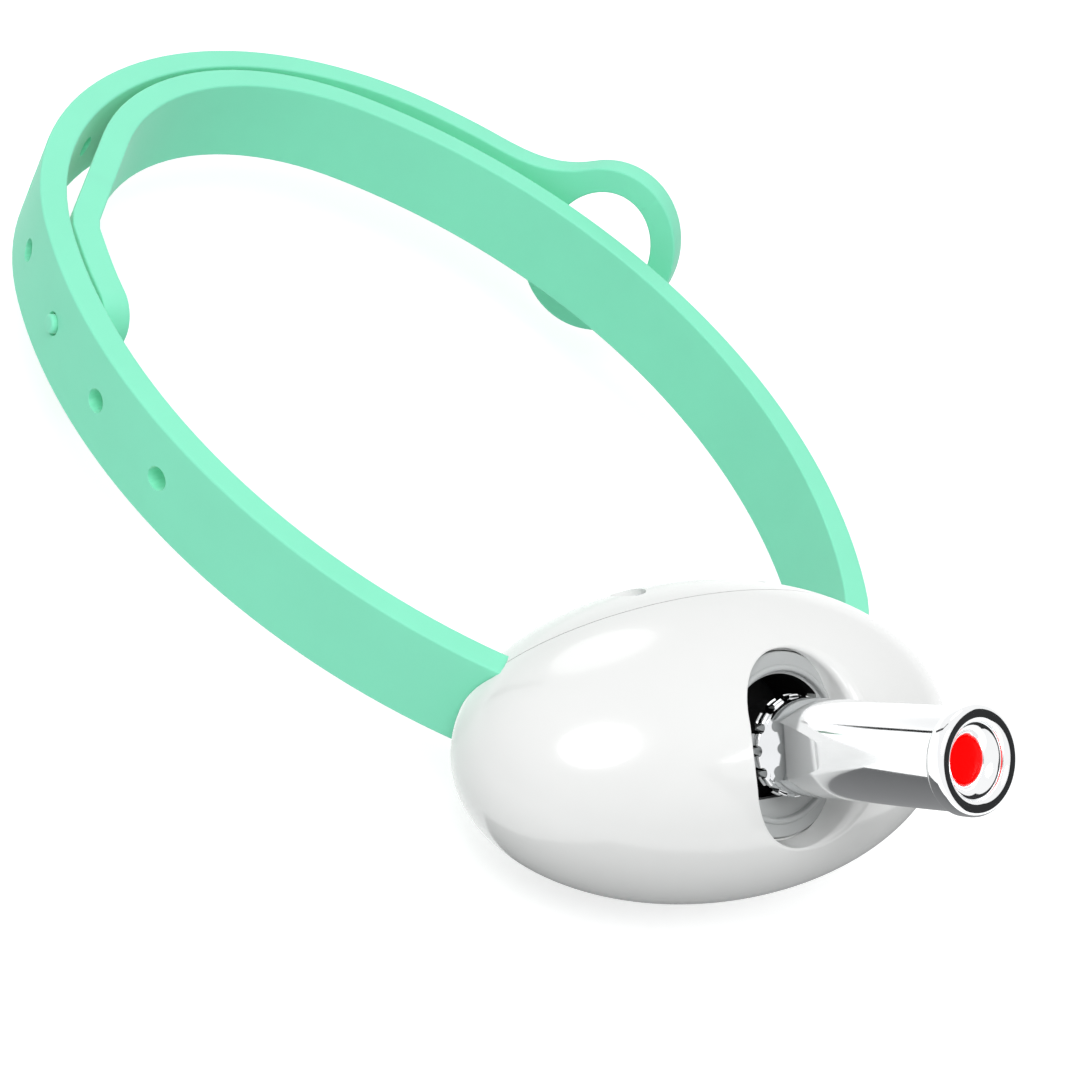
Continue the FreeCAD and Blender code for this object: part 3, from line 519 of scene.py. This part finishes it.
def lathe(profile, steps):
    """Spin a closed outline of (radius, height) points in millimetres round the Z axis."""
    obj = start(bpy.ops.mesh.primitive_circle_add, vertices=len(profile), radius=0.01)
    for vertex, (radius, height) in zip(obj.data.vertices, profile):
        vertex.co = (radius * MM, 0, height * MM)
    editing(obj, "EDGE")
    bpy.ops.mesh.spin(steps=steps, angle=2 * math.pi, center=(0, 0, 0), axis=(0, 0, 1))
    done_editing()
    outward(obj)
    return obj


def bowed(first, last, bulge):
    """Points between two profile points, bowed out to the left of the way from one to the other."""
    (r0, h0), (r1, h1) = first, last
    size = math.hypot(r1 - r0, h1 - h0)
    points = []
    for index in range(7):
        t = index / 6
        swell = bulge * math.sin(math.pi * t) / size
        points.append((r0 + (r1 - r0) * t - (h1 - h0) * swell, h0 + (h1 - h0) * t + (r1 - r0) * swell))
    return points


def corner(centre, radius, first, last, count=5):
    """An arc of profile points between two angles in degrees, 0 outwards and 90 up."""
    angles = [math.radians(first + (last - first) * index / count) for index in range(count + 1)]
    return [(centre[0] + radius * math.cos(a), centre[1] + radius * math.sin(a)) for a in angles]


def block(low, high):
    """A cutting block between two corners in millimetres."""
    middle = [(a + b) / 2 * MM for a, b in zip(low, high)]
    obj = start(bpy.ops.mesh.primitive_cube_add, size=1.0, location=middle)
    obj.scale = [(b - a) * MM for a, b in zip(low, high)]
    settle(obj)
    return obj


def rod(radius, low, high, vertices, x=0.0, y=0.0):
    """A cutting rod along Z in millimetres."""
    return start(bpy.ops.mesh.primitive_cylinder_add, vertices=vertices, radius=radius * MM,
                 depth=(high - low) * MM, location=(x * MM, y * MM, (low + high) / 2 * MM))


def depth_rod(radius, low, high, x, z, vertices=48):
    """A cutting rod along Y, placed in the housing in millimetres."""
    return start(bpy.ops.mesh.primitive_cylinder_add, vertices=vertices, radius=radius * MM,
                 depth=(high - low) * MM, rotation=(math.pi / 2, 0, 0),
                 location=(x * MM, ((low + high) / 2 + HOUSING_Y) * MM, z * MM))


def through_cutter(x_mm, radius_x, radius_z, vertices):
    """An oval cutter right through a flat strap."""
    cutter = start(bpy.ops.mesh.primitive_cylinder_add, vertices=vertices, radius=1.0, depth=8 * MM,
                   location=(x_mm * MM, 0, 0), rotation=(math.pi / 2, 0, 0))
    cutter.scale = (radius_x, radius_z, 1.0)
    settle(cutter)
    return cutter


class COLLAR_OT_hole_strap(bpy.types.Operator):
    """Strap with the adjusting holes and the oval eyelet at its end"""
    bl_idname = "collar.hole_strap"
    bl_label = "Hole strap"

    def execute(self, context):
        sizes = context.scene.collar_sizes
        half = sizes.strap_thickness / 2
        length = EYELET_ALONG + sizes.eyelet_half_length / MM
        strap = flat_strap(sizes, flat_outline(sizes, length, EYELET_ALONG))
        opening_x = sizes.eyelet_half_length - sizes.eyelet_bar
        opening_z = sizes.eyelet_half_height - sizes.eyelet_bar
        combine(strap, through_cutter(EYELET_ALONG, opening_x, opening_z, 56), "DIFFERENCE")
        bevel_rims(strap, sizes.strap_edge, 5, lambda edge: on_faces(edge, half))
        for along in HOLES_ALONG:
            combine(strap, through_cutter(along, HOLE_RADIUS * MM, HOLE_RADIUS * MM, 28), "DIFFERENCE")
        bevel_rims(strap, sizes.hole_mouth, 3, lambda edge: on_faces(edge, half) and near_hole(edge))
        bend_along(strap, HOLE_STRAP_START, HOLE_STRAP_RUNS, length)
        outward(strap)
        hand_over(strap, "silicone_hole_strap", materials(context)["silicone"], "housing",
                  ["hole_strap"])
        strap.visible_glossy = False
        return {"FINISHED"}


def near_hole(edge):
    middle = (edge.verts[0].co + edge.verts[1].co) / 2
    return any(math.hypot(middle.x - along * MM, middle.z) < HOLE_RADIUS * MM + 0.15 * MM
               for along in HOLES_ALONG)


class COLLAR_OT_peg_strap(bpy.types.Operator):
    """Strap whose bent tip, a piece of its own, carries the peg"""
    bl_idname = "collar.peg_strap"
    bl_label = "Peg strap"

    def execute(self, context):
        sizes = context.scene.collar_sizes
        half = sizes.strap_thickness / 2
        for name, keep_start, replaced in (("silicone_peg_strap", True, "peg_strap"),
                                           ("silicone_peg_strap_tip", False, "peg_strap_tip")):
            strap = flat_strap(sizes, flat_outline(sizes, PEG_STRAP_LENGTH))
            bevel_rims(strap, sizes.strap_edge, 5, lambda edge: on_faces(edge, half))
            cut_across(strap, TIP_BEGINS_ALONG, keep_start)
            bend_along(strap, PEG_STRAP_START, PEG_STRAP_RUNS, PEG_STRAP_LENGTH)
            outward(strap)
            hand_over(strap, name, materials(context)["silicone"], "housing" if keep_start else None,
                      [replaced])
            strap.visible_glossy = False
        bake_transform(strap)
        return {"FINISHED"}


def egg(half_sizes):
    """The housing's egg as a closed ball with its poles at the two ends."""
    obj = start(bpy.ops.mesh.primitive_uv_sphere_add, segments=160, ring_count=80, radius=MM,
                rotation=(0, math.pi / 2, 0))
    settle(obj)
    obj.scale = half_sizes
    obj.location = HOUSING_AT
    settle(obj)
    return obj


def egg_height(x, v):
    """Height of the egg's outside above the housing's middle, along the turret's axis, in millimetres."""
    c, s = math.cos(AXIS_TURN), math.sin(AXIS_TURN)
    # A point (x, v, k) about the turret's axis is (x, v c - k s, v s + k c) in the housing
    a, b, d = EGG
    square = (s / b) ** 2 + (c / d) ** 2
    middle = (-2 * v * c * s) / b ** 2 + (2 * v * s * c) / d ** 2
    rest = (x / a) ** 2 + (v * c / b) ** 2 + (v * s / d) ** 2 - 1
    return (-middle + math.sqrt(middle * middle - 4 * square * rest)) / (2 * square)


def window_cutter():
    """The turret's window: sloping walls whose outer edge rolls over into the egg."""
    count = 120
    half_width, half_height, flare, step_out = 6.2, 8.95, 0.17, 0.3
    rings = []
    for step in range(count):
        angle = 2 * math.pi * step / count
        across, up = math.cos(angle), math.sin(angle)
        base = (half_width * across, half_width * up + math.copysign(half_height - half_width, up))
        # The edge is crisp on the left and rolls widely over on the right
        roll = 0.35 + 1.35 * max(0.0, across) ** 1.2
        rows = [(*base, TURRET_FACE - 0.4), (*base, TURRET_FACE)]
        reach = flare * (egg_height(*base) - TURRET_FACE - roll)
        for turn in range(9):
            t = math.radians(90 * turn / 8)
            out = reach + roll * (1 - math.cos(t))
            x, v = base[0] + across * out, base[1] + up * out
            rows.append((x, v, egg_height(x, v) - roll * (1 - math.sin(t))))
        outside = (x + across * step_out, v + up * step_out)
        rows += [(*outside, egg_height(x, v) + 0.5), (*outside, 24.0)]
        rings.append(rows)
    deep = len(rings[0])
    points = [Vector(row) * MM for rows in rings for row in rows]
    faces = [[step * deep for step in range(count)][::-1], [step * deep + deep - 1 for step in range(count)]]
    for step in range(count):
        near, far = step * deep, (step + 1) % count * deep
        faces += [(near + row, far + row, far + row + 1, near + row + 1) for row in range(deep - 1)]
    data = bpy.data.meshes.new("window_cutter")
    data.from_pydata(points, [], faces)
    obj = bpy.data.objects.new("window_cutter", data)
    bpy.context.scene.collection.objects.link(obj)
    outward(obj)
    place_on_axis(obj)
    settle(obj)
    return obj


def strap_mouth(start_at, runs):
    """The room that a strap takes as it leaves the housing, with a hair's gap round it."""
    tool = block((0, -1.52, -5.12), (24, 1.52, 5.12))
    round_sharp_edges(tool, 1.0 * MM, 3)
    bend_along(tool, start_at, runs, 24)
    return tool


class COLLAR_OT_front_shell(bpy.types.Operator):
    """Front shell of the egg with the turret's window and the mouths for both straps"""
    bl_idname = "collar.front_shell"
    bl_label = "Front shell"

    def execute(self, context):
        hollow = egg(EGG_INSIDE)
        seat = rod(10.8, 7.3, 30, 96)
        place_on_axis(seat)
        combine(hollow, seat, "DIFFERENCE")
        shell = egg(EGG)
        combine(shell, hollow, "DIFFERENCE")
        combine(shell, block((-40, SEAM_Y, -30), (40, -20, 30)), "DIFFERENCE")
        bore = rod(8.8, 2, TURRET_FACE, 120)
        place_on_axis(bore)
        combine(shell, bore, "DIFFERENCE")
        combine(shell, window_cutter(), "DIFFERENCE")
        combine(shell, strap_mouth(HOLE_STRAP_START, HOLE_STRAP_RUNS), "DIFFERENCE")
        combine(shell, strap_mouth(PEG_STRAP_START, PEG_STRAP_RUNS), "DIFFERENCE")
        hand_over(shell, "abs_front_shell", materials(context)["shell"], "housing",
                  ["front_shell"], 30)
        return {"FINISHED"}


class COLLAR_OT_rear_cover(bpy.types.Operator):
    """Flat-backed rear cover with screw wells, the charging opening and the button's hole"""
    bl_idname = "collar.rear_cover"
    bl_label = "Rear cover"

    def execute(self, context):
        hollow = egg(EGG_INSIDE)
        combine(hollow, block((-40, BACK_INSIDE_Y, -30), (40, -20, 30)), "DIFFERENCE")
        for x, z in SCREW_PLACES:
            combine(hollow, depth_rod(1.7, 0, 20, x, z), "DIFFERENCE")
        cover = egg(EGG)
        combine(cover, hollow, "DIFFERENCE")
        combine(cover, block((-40, -80, -30), (40, SEAM_Y + SEAM_GAP, 30)), "DIFFERENCE")
        combine(cover, block((-40, BACK_Y, -30), (40, -20, 30)), "DIFFERENCE")
        for x, z in SCREW_PLACES:
            combine(cover, depth_rod(1.6, SCREW_SEAT, 20, x, z), "DIFFERENCE")
            combine(cover, depth_rod(0.85, 6, 11, x, z), "DIFFERENCE")
        opening = block((0.42, -45, -1.68), (9.58, -30, 1.68))
        round_sharp_edges(opening, 1.1 * MM, 5)
        combine(cover, opening, "DIFFERENCE")
        combine(cover, depth_rod(2.58, 7, 20, BUTTON_X, 0, 72), "DIFFERENCE")
        combine(cover, strap_mouth(HOLE_STRAP_START, HOLE_STRAP_RUNS), "DIFFERENCE")
        combine(cover, strap_mouth(PEG_STRAP_START, PEG_STRAP_RUNS), "DIFFERENCE")
        hand_over(cover, "abs_rear_cover", materials(context)["shell"], "housing",
                  ["rear_cover"], 30)
        return {"FINISHED"}


class COLLAR_OT_cover_screws(bpy.types.Operator):
    """Four cross-head screws in the rear cover's wells"""
    bl_idname = "collar.cover_screws"
    bl_label = "Cover screws"

    def execute(self, context):
        thread = [(0.8 if index % 2 else 0.6, -5.0 + 0.2 * index) for index in range(25)]
        outline = [(0.0, -5.6), (0.35, -5.4)] + thread + [(0.8, 0.0), (1.35, 0.0)]
        outline += corner((1.2, 0.3), 0.3, -60, 60) + bowed((1.2, 0.62), (0.0, 1.0), -0.06)
        first = lathe(outline, 48)
        for low, high in (((-0.85, -0.16, 0.45), (0.85, 0.16, 2)), ((-0.16, -0.85, 0.45), (0.16, 0.85, 2))):
            combine(first, block(low, high), "DIFFERENCE")
        first.rotation_euler = (-math.pi / 2, 0, 0)
        settle(first)
        for index, (x, z) in enumerate(SCREW_PLACES):
            screw = first.copy()
            screw.data = first.data.copy()
            context.scene.collection.objects.link(screw)
            editing(screw)
            bpy.ops.transform.rotate(value=0.7 * index, orient_axis="Y", center_override=(0, 0, 0))
            done_editing()
            screw.location = Vector((x, SCREW_SEAT + HOUSING_Y, z)) * MM
            hand_over(screw, f"steel_cover_screw_{index + 1}", materials(context)["steel"], "housing",
                      ["cover_screws"] if index == 0 else [])
        bpy.data.objects.remove(first)
        return {"FINISHED"}


class COLLAR_OT_power_button(bpy.types.Operator):
    """Round dished button in the rear cover, with its flange and stem"""
    bl_idname = "collar.power_button"
    bl_label = "Power button"

    def execute(self, context):
        outline = [(0.0, 9.45), (0.9, 9.45), (0.9, 11.25), (3.1, 11.25), (3.1, 11.95), (2.5, 11.95),
                   (2.5, 13.1)]
        outline += corner((2.2, 13.1), 0.3, 15, 90) + [(1.9, 13.36), (1.2, 13.2), (0.6, 13.12), (0.0, 13.1)]
        button = lathe(outline, 96)
        button.rotation_euler = (-math.pi / 2, 0, 0)
        button.location = Vector((BUTTON_X, HOUSING_Y, 0)) * MM
        hand_over(button, "nylon_power_button", materials(context)["turret"], "button",
                  ["power_button"])
        return {"FINISHED"}


class COLLAR_OT_charging_socket(bpy.types.Operator):
    """Charging socket: folded steel shell round a black tongue"""
    bl_idname = "collar.charging_socket"
    bl_label = "Charging socket"

    def execute(self, context):
        shell = block((0.5, -43, -1.6), (9.5, -36.45, 1.6))
        pocket = block((0.85, -41.4, -1.25), (9.15, -30, 1.25))
        for box, radius in ((shell, 1.0), (pocket, 0.75)):
            editing(box, "EDGE")
            pick(box, "edges", lambda edge: abs(edge.verts[0].co.y - edge.verts[1].co.y) > 5 * MM)
            bpy.ops.mesh.bevel(offset=radius * MM, segments=6, affect="EDGES")
            done_editing()
        combine(shell, pocket, "DIFFERENCE")
        hand_over(shell, "steel_socket_shell", materials(context)["steel"], "housing",
                  ["charging_socket"])
        tongue = block((1.55, -41.6, -0.35), (8.45, -36.9, 0.35))
        round_sharp_edges(tongue, 0.12 * MM, 2)
        hand_over(tongue, "black_socket_tongue", materials(context)["black"], "housing",
                  [])
        return {"FINISHED"}


class COLLAR_OT_turret_disc(bpy.types.Operator):
    """Turning disc with its raised bead, the slot for the barrel and the cup behind"""
    bl_idname = "collar.turret_disc"
    bl_label = "Turret disc"

    def execute(self, context):
        outline = [(0.0, 2.5), (7.9, 2.5), (7.9, 8.6), (8.7, 8.6), (8.7, 9.95)]
        outline += corner((8.5, 10.0), 0.2, 0, 90, 3) + [(7.45, 10.2)]
        outline += corner((7.15, 10.2), 0.3, 0, 180, 6) + [(6.85, 9.8), (0.0, 9.8)]
        disc = lathe(outline, 128)
        combine(disc, rod(6.7, 3.5, 8.6, 96), "DIFFERENCE")
        slot = rod(6.6, 8.0, 11, 96)
        combine(slot, block((-5.1, -4.9, 0), (5.1, 30, 30)), "INTERSECT")
        combine(disc, slot, "DIFFERENCE")
        place_on_axis(disc)
        finish = materials(context)
        hand_over(disc, "nylon_turret_disc", finish["turret"], "turret", ["turret_disc"])
        # The cup's faces inside the slot take the black: painted shade in the recess of the grey disc
        disc.data.materials.append(finish["black"])
        axis = Vector((0, -math.sin(AXIS_TURN), math.cos(AXIS_TURN)))
        for face in disc.data.polygons:
            height = (face.center - HOUSING_AT).dot(axis)
            away = (face.center - HOUSING_AT - axis * height).length
            if height < 9.7 * MM and away < 6.9 * MM:
                face.material_index = 1
        return {"FINISHED"}


class COLLAR_OT_scalloped_collar(bpy.types.Operator):
    """Scalloped ring at the barrel's root"""
    bl_idname = "collar.scalloped_collar"
    bl_label = "Scalloped collar"

    def execute(self, context):
        ring = lathe([(3.0, 11.0), (4.55, 11.0)] + corner((4.55, 11.25), 0.25, -60, 60, 4)
                     + [(4.8, 12.1)] + corner((4.6, 12.1), 0.2, 0, 90, 3) + [(3.0, 12.3)], 112)
        for index in range(14):
            angle = 2 * math.pi * index / 14
            notch = rod(0.55, 10, 13.5, 20, 4.85 * math.cos(angle), 4.85 * math.sin(angle))
            combine(ring, notch, "DIFFERENCE")
        place_on_axis(ring)
        hand_over(ring, "chrome_scalloped_collar", materials(context)["chrome"], "barrel",
                  ["scalloped_collar"])
        return {"FINISHED"}


class COLLAR_OT_laser_barrel(bpy.types.Operator):
    """Chrome barrel with its two tapering flats, rolled rim, reflector and red window"""
    bl_idname = "collar.laser_barrel"
    bl_label = "Laser barrel"

    def execute(self, context):
        sizes = context.scene.collar_sizes
        finish = materials(context)
        barrel = lathe([(3.4, 16.0), (3.4, 33.2), (BARREL_RADIUS, 33.2)]
                       + [(BARREL_RADIUS, 33.0 - 1.05 * step) for step in range(19)]
                       + corner((4.05, 12.8), 0.5, 0, -90, 5) + [(0.0, 12.3), (0.0, 16.0)], 160)
        # Each flat starts 1.1 mm deep at the root and runs out 8.5 mm up the barrel
        for side in (-1, 1):
            plane = block((0, -20, -20), (20, 20, 20))
            plane.rotation_euler = (0, math.atan2(1.1, 8.5), 0)
            plane.location = Vector((BARREL_RADIUS - 1.1, 0, 12.3)) * MM
            settle(plane)
            if side < 0:
                plane.scale = (-1, 1, 1)
                settle(plane)
                outward(plane)
            combine(barrel, plane, "DIFFERENCE")
        place_on_axis(barrel)
        hand_over(barrel, "chrome_laser_barrel", finish["chrome"], "barrel", ["laser_barrel"], 20)
        rim = lathe([(3.3, 33.2), (BARREL_RADIUS, 33.2)] + corner((4.3, 33.75), 0.55, -40, 0, 3)
                    + corner((4.25, 34.6), 0.6, 0, 90, 6) + corner((4.0, 34.5), 0.7, 90, 180, 6), 128)
        place_on_axis(rim)
        hand_over(rim, "chrome_barrel_rim", finish["chrome"], "barrel", ["barrel_rim"], 60)
        dish = lathe([(2.0, 31.6), (3.38, 31.6), (3.38, 34.5)] + bowed((3.3, 34.5), (2.02, 33.5), -0.18)
                     + [(2.02, 33.4)], 128)
        place_on_axis(dish)
        hand_over(dish, "chrome_reflector", finish["chrome"], "barrel", ["reflector_cup"], 60)
        lens = lathe([(0.0, 32.2), (2.0, 32.2), (2.0, 33.45)] + bowed((1.98, 33.5), (0.0, 33.62), -0.05), 96)
        place_on_axis(lens)
        hand_over(lens, "acrylic_red_lens", finish["lens"], "barrel", ["red_lens"], 60)
        return {"FINISHED"}


class COLLAR_OT_strap_peg(bpy.types.Operator):
    """Peg moulded on the strap's tip, standing through one adjusting hole"""
    bl_idname = "collar.strap_peg"
    bl_label = "Strap peg"

    def execute(self, context):
        peg = lathe([(0.0, -3.8), (1.9, -3.8), (1.9, -3.1), (0.95, -3.0), (0.95, 1.6)]
                    + corner((0.7, 1.65), 0.25, 0, 90, 4) + [(0.0, 1.9)], 48)
        # Across the tip, through the hole it hooks into
        peg.matrix_world = (Matrix.Translation(Vector((-45.193, 8.856, 0)) * MM)
                            @ Matrix.Rotation(math.radians(176.99), 4, "Z")
                            @ Matrix.Rotation(math.pi / 2, 4, "Y"))
        hand_over(peg, "silicone_strap_peg", materials(context)["silicone"], "strap_tip",
                  ["strap_peg"])
        return {"FINISHED"}


class COLLAR_OT_hidden_finishes(bpy.types.Operator):
    """Finishes of the carried-over pieces, most of them inside the housing"""
    bl_idname = "collar.hidden_finishes"
    bl_label = "Hidden pieces"

    def execute(self, context):
        finish = materials(context)
        by_node = {
            "strap_pins": "steel", "battery_cell": "wrap", "circuit_board": "board",
            "tact_switch": "black", "gearbox_chassis": "turret", "turret_retainer": "acetal",
            "gear_axle": "steel", "drive_motor": "can", "turret_shaft": "steel",
            "turret_gear": "acetal", "tilt_pin": "steel", "tilt_washers": "black",
            "barrel_root": "black", "laser_module": "can", "reduction_gear": "acetal",
            "motor_pinion": "brass", "strap_peg": "silicone", "front_shell": "shell",
            "rear_cover": "shell", "cover_screws": "steel", "hole_strap": "silicone",
            "peg_strap": "silicone", "peg_strap_tip": "silicone", "charging_socket": "steel",
            "power_button": "turret", "turret_disc": "turret", "scalloped_collar": "chrome",
            "laser_barrel": "chrome", "barrel_rim": "chrome", "reflector_cup": "chrome",
            "red_lens": "lens",
        }
        for name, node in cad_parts.items():
            for slot in node.material_slots:
                slot.material = finish[by_node[name]]
            if not node.material_slots:
                node.data.materials.append(finish[by_node[name]])
        return {"FINISHED"}


class COLLAR_OT_stage(bpy.types.Operator):
    """Pale floor, soft studio light and the camera at the photograph's angle"""
    bl_idname = "collar.stage"
    bl_label = "Stage"

    def execute(self, context):
        scene = context.scene
        scene.view_settings.view_transform = "Standard"
        floor = start(bpy.ops.mesh.primitive_plane_add, size=6.0, location=(0, 0, FLOOR_Z * MM))
        settle(floor)
        floor.name = "floor"
        floor.data.materials.append(self.floor_material(scene.collar_colours.floor))
        scene.world = self.white_studio()
        self.lamp("key_softbox", (-0.28, -0.22, 0.66), 0.45, 2.8)
        self.lamp("back_softbox", (0.10, 0.60, 0.45), 0.40, 0.6)
        # Glowing cards that only the mirrors see: painted reflections, dark bands in the chrome and, on the
        # ground, a painted grey floor shade
        self.flag("front_flag", (360, -360, 250), (520, 520), (0, -66, 18), "#2A2B2C", "#3A3B3C")
        self.flag("post_flag", (-100, 250, 100), (24, 230), (0, -66, 100), "#0C0C0C", "#141414")
        self.flag("ground_flag", (14, -88, FLOOR_Z + 0.1), (94, 72), (14, -88, 100), "#6A6B6C", "#A4A5A6")
        self.camera(scene)
        return {"FINISHED"}

    def floor_material(self, colour):
        """Matt paper sweep: white to the camera, with the object's soft shadow on it."""
        material, tree = new_material("paper_sweep")
        place = add_node(tree, "ShaderNodeTexCoord").outputs["Object"]
        fibre = add_node(tree, "ShaderNodeTexNoise", {"Scale": 1 / (2.0 * MM), "Detail": 3.0},
                         {"Vector": place})
        tone = add_node(tree, "ShaderNodeMapRange",
                        {"From Min": 0.35, "From Max": 0.65, "To Min": 0.99, "To Max": 1.0},
                        {"Value": fibre.outputs["Fac"]})
        tint = add_node(tree, "ShaderNodeVectorMath", {"operation": "SCALE", "Vector": colour[:3]},
                        {"Scale": tone.outputs["Result"]})
        paper = add_node(tree, "ShaderNodeBsdfDiffuse", {}, {"Color": tint.outputs["Vector"]})
        lift = add_node(tree, "ShaderNodeEmission", {"Color": WHITE, "Strength": 0.62})
        both = add_node(tree, "ShaderNodeAddShader", {}, {0: paper.outputs[0], 1: lift.outputs[0]})
        seen = add_node(tree, "ShaderNodeMixShader", {},
                        {"Fac": self.straight_ray(tree), 1: paper.outputs[0], 2: both.outputs[0]})
        add_node(tree, "ShaderNodeOutputMaterial", {}, {"Surface": seen.outputs[0]})
        return material

    def straight_ray(self, tree):
        """One for what the camera sees, itself, in a mirror or through a clear piece; else zero."""
        path = add_node(tree, "ShaderNodeLightPath")
        mirrored = add_node(tree, "ShaderNodeMath", {"operation": "MAXIMUM"},
                            {0: path.outputs["Is Camera Ray"], 1: path.outputs["Is Glossy Ray"]})
        clear = add_node(tree, "ShaderNodeMath", {"operation": "MAXIMUM"},
                         {0: mirrored.outputs[0], 1: path.outputs["Is Transmission Ray"]})
        return clear.outputs[0]

    def white_studio(self):
        """Even studio light; the camera and mirrors see a white backdrop."""
        world = bpy.data.worlds.new("studio")
        world.use_nodes = True
        tree = world.node_tree
        tree.nodes.clear()
        plain = add_node(tree, "ShaderNodeBackground", {"Color": WHITE, "Strength": 0.58})
        backdrop = add_node(tree, "ShaderNodeBackground", {"Color": WHITE, "Strength": 1.0})
        seen = add_node(tree, "ShaderNodeMixShader", {},
                        {"Fac": self.straight_ray(tree), 1: plain.outputs[0], 2: backdrop.outputs[0]})
        add_node(tree, "ShaderNodeOutputWorld", {}, {"Surface": seen.outputs[0]})
        return world

    def flag(self, name, place, size, towards, dark, light):
        """A glowing card that only the mirrors see, as in a product studio, shaded dark to light across it:
        a painted reflection; it blocks no light.
        """
        card = start(bpy.ops.mesh.primitive_plane_add, size=MM, location=Vector(place) * MM)
        card.scale = (size[0], size[1], 1)
        card.rotation_euler = (Vector(towards) - Vector(place)).to_track_quat("Z", "Y").to_euler()
        settle(card)
        card.name = name
        material, tree = new_material(f"{name}_felt")
        spot = add_node(tree, "ShaderNodeTexCoord").outputs["Object"]
        axes = add_node(tree, "ShaderNodeSeparateXYZ", {}, {"Vector": spot})
        across = add_node(tree, "ShaderNodeMapRange", {"From Min": (place[0] - size[0] / 2) * MM,
                                                       "From Max": (place[0] + size[0] / 2) * MM},
                          {"Value": axes.outputs["X"]})
        # The card's colour, dark to light across it, is a painted reflection
        painted_reflection = add_node(tree, "ShaderNodeMix",
                        {"data_type": "RGBA", MIX_FIRST: linear(dark), MIX_SECOND: linear(light)},
                        {"Factor": across.outputs["Result"]})
        glow = add_node(tree, "ShaderNodeEmission", {"Strength": 1.0}, {"Color": painted_reflection.outputs[MIX_RESULT]})
        add_node(tree, "ShaderNodeOutputMaterial", {}, {"Surface": glow.outputs[0]})
        card.data.materials.append(material)
        card.visible_camera = card.visible_diffuse = card.visible_shadow = False

    def lamp(self, name, place, size, power):
        light = bpy.data.lights.new(name, "AREA")
        light.shape = "DISK"
        light.size = size
        light.energy = power
        lamp = bpy.data.objects.new(name, light)
        lamp.location = place
        lamp.rotation_euler = (Vector((0, -0.03, 0)) - Vector(place)).to_track_quat("-Z", "Y").to_euler()
        bpy.context.scene.collection.objects.link(lamp)

    def camera(self, scene):
        data = bpy.data.cameras.new("photo_camera")
        data.sensor_width = 36.0
        # The photograph is 1080 pixels wide and its fitted focal length is 2600 of them
        data.lens = 2600 / 1080 * 36
        data.clip_start = 0.01
        data.clip_end = 20
        camera = bpy.data.objects.new("photo_camera", data)
        right = Vector((0.7928, -0.4512, 0.4098)).normalized()
        forward = Vector((0.6059, 0.5102, -0.6104)).normalized()
        up = right.cross(forward)
        turn = Matrix((right, up, -forward)).transposed()
        camera.matrix_world = Matrix.Translation(Vector((-163.25, -156.35, 159.01)) * MM) @ turn.to_4x4()
        scene.collection.objects.link(camera)
        scene.camera = camera


class COLLAR_PT_panel(bpy.types.Panel):
    """Buttons and values for the collar"""
    bl_label = "Laser collar"
    bl_idname = "COLLAR_PT_panel"
    bl_space_type = "VIEW_3D"
    bl_region_type = "UI"
    bl_category = "Collar"

    def draw(self, context):
        for group in (context.scene.collar_sizes, context.scene.collar_colours):
            for name in group.__annotations__:
                self.layout.prop(group, name)
        for operator in OPERATORS:
            self.layout.operator(operator.bl_idname)


OPERATORS = (
    COLLAR_OT_hidden_finishes,
    COLLAR_OT_hole_strap,
    COLLAR_OT_peg_strap,
    COLLAR_OT_strap_peg,
    COLLAR_OT_front_shell,
    COLLAR_OT_rear_cover,
    COLLAR_OT_cover_screws,
    COLLAR_OT_power_button,
    COLLAR_OT_charging_socket,
    COLLAR_OT_turret_disc,
    COLLAR_OT_scalloped_collar,
    COLLAR_OT_laser_barrel,
    COLLAR_OT_stage,
)
CLASSES = (CollarSizes, CollarColours) + OPERATORS + (COLLAR_PT_panel,)


def register():
    for item in CLASSES:
        bpy.utils.register_class(item)
    bpy.types.Scene.collar_sizes = bpy.props.PointerProperty(type=CollarSizes)
    bpy.types.Scene.collar_colours = bpy.props.PointerProperty(type=CollarColours)


def unregister():
    del bpy.types.Scene.collar_colours
    del bpy.types.Scene.collar_sizes
    for item in reversed(CLASSES):
        bpy.utils.unregister_class(item)


def main():
    register()
    for operator in OPERATORS:
        group, name = operator.bl_idname.split(".")
        getattr(getattr(bpy.ops, group), name)()


if __name__ == "__main__":
    main()
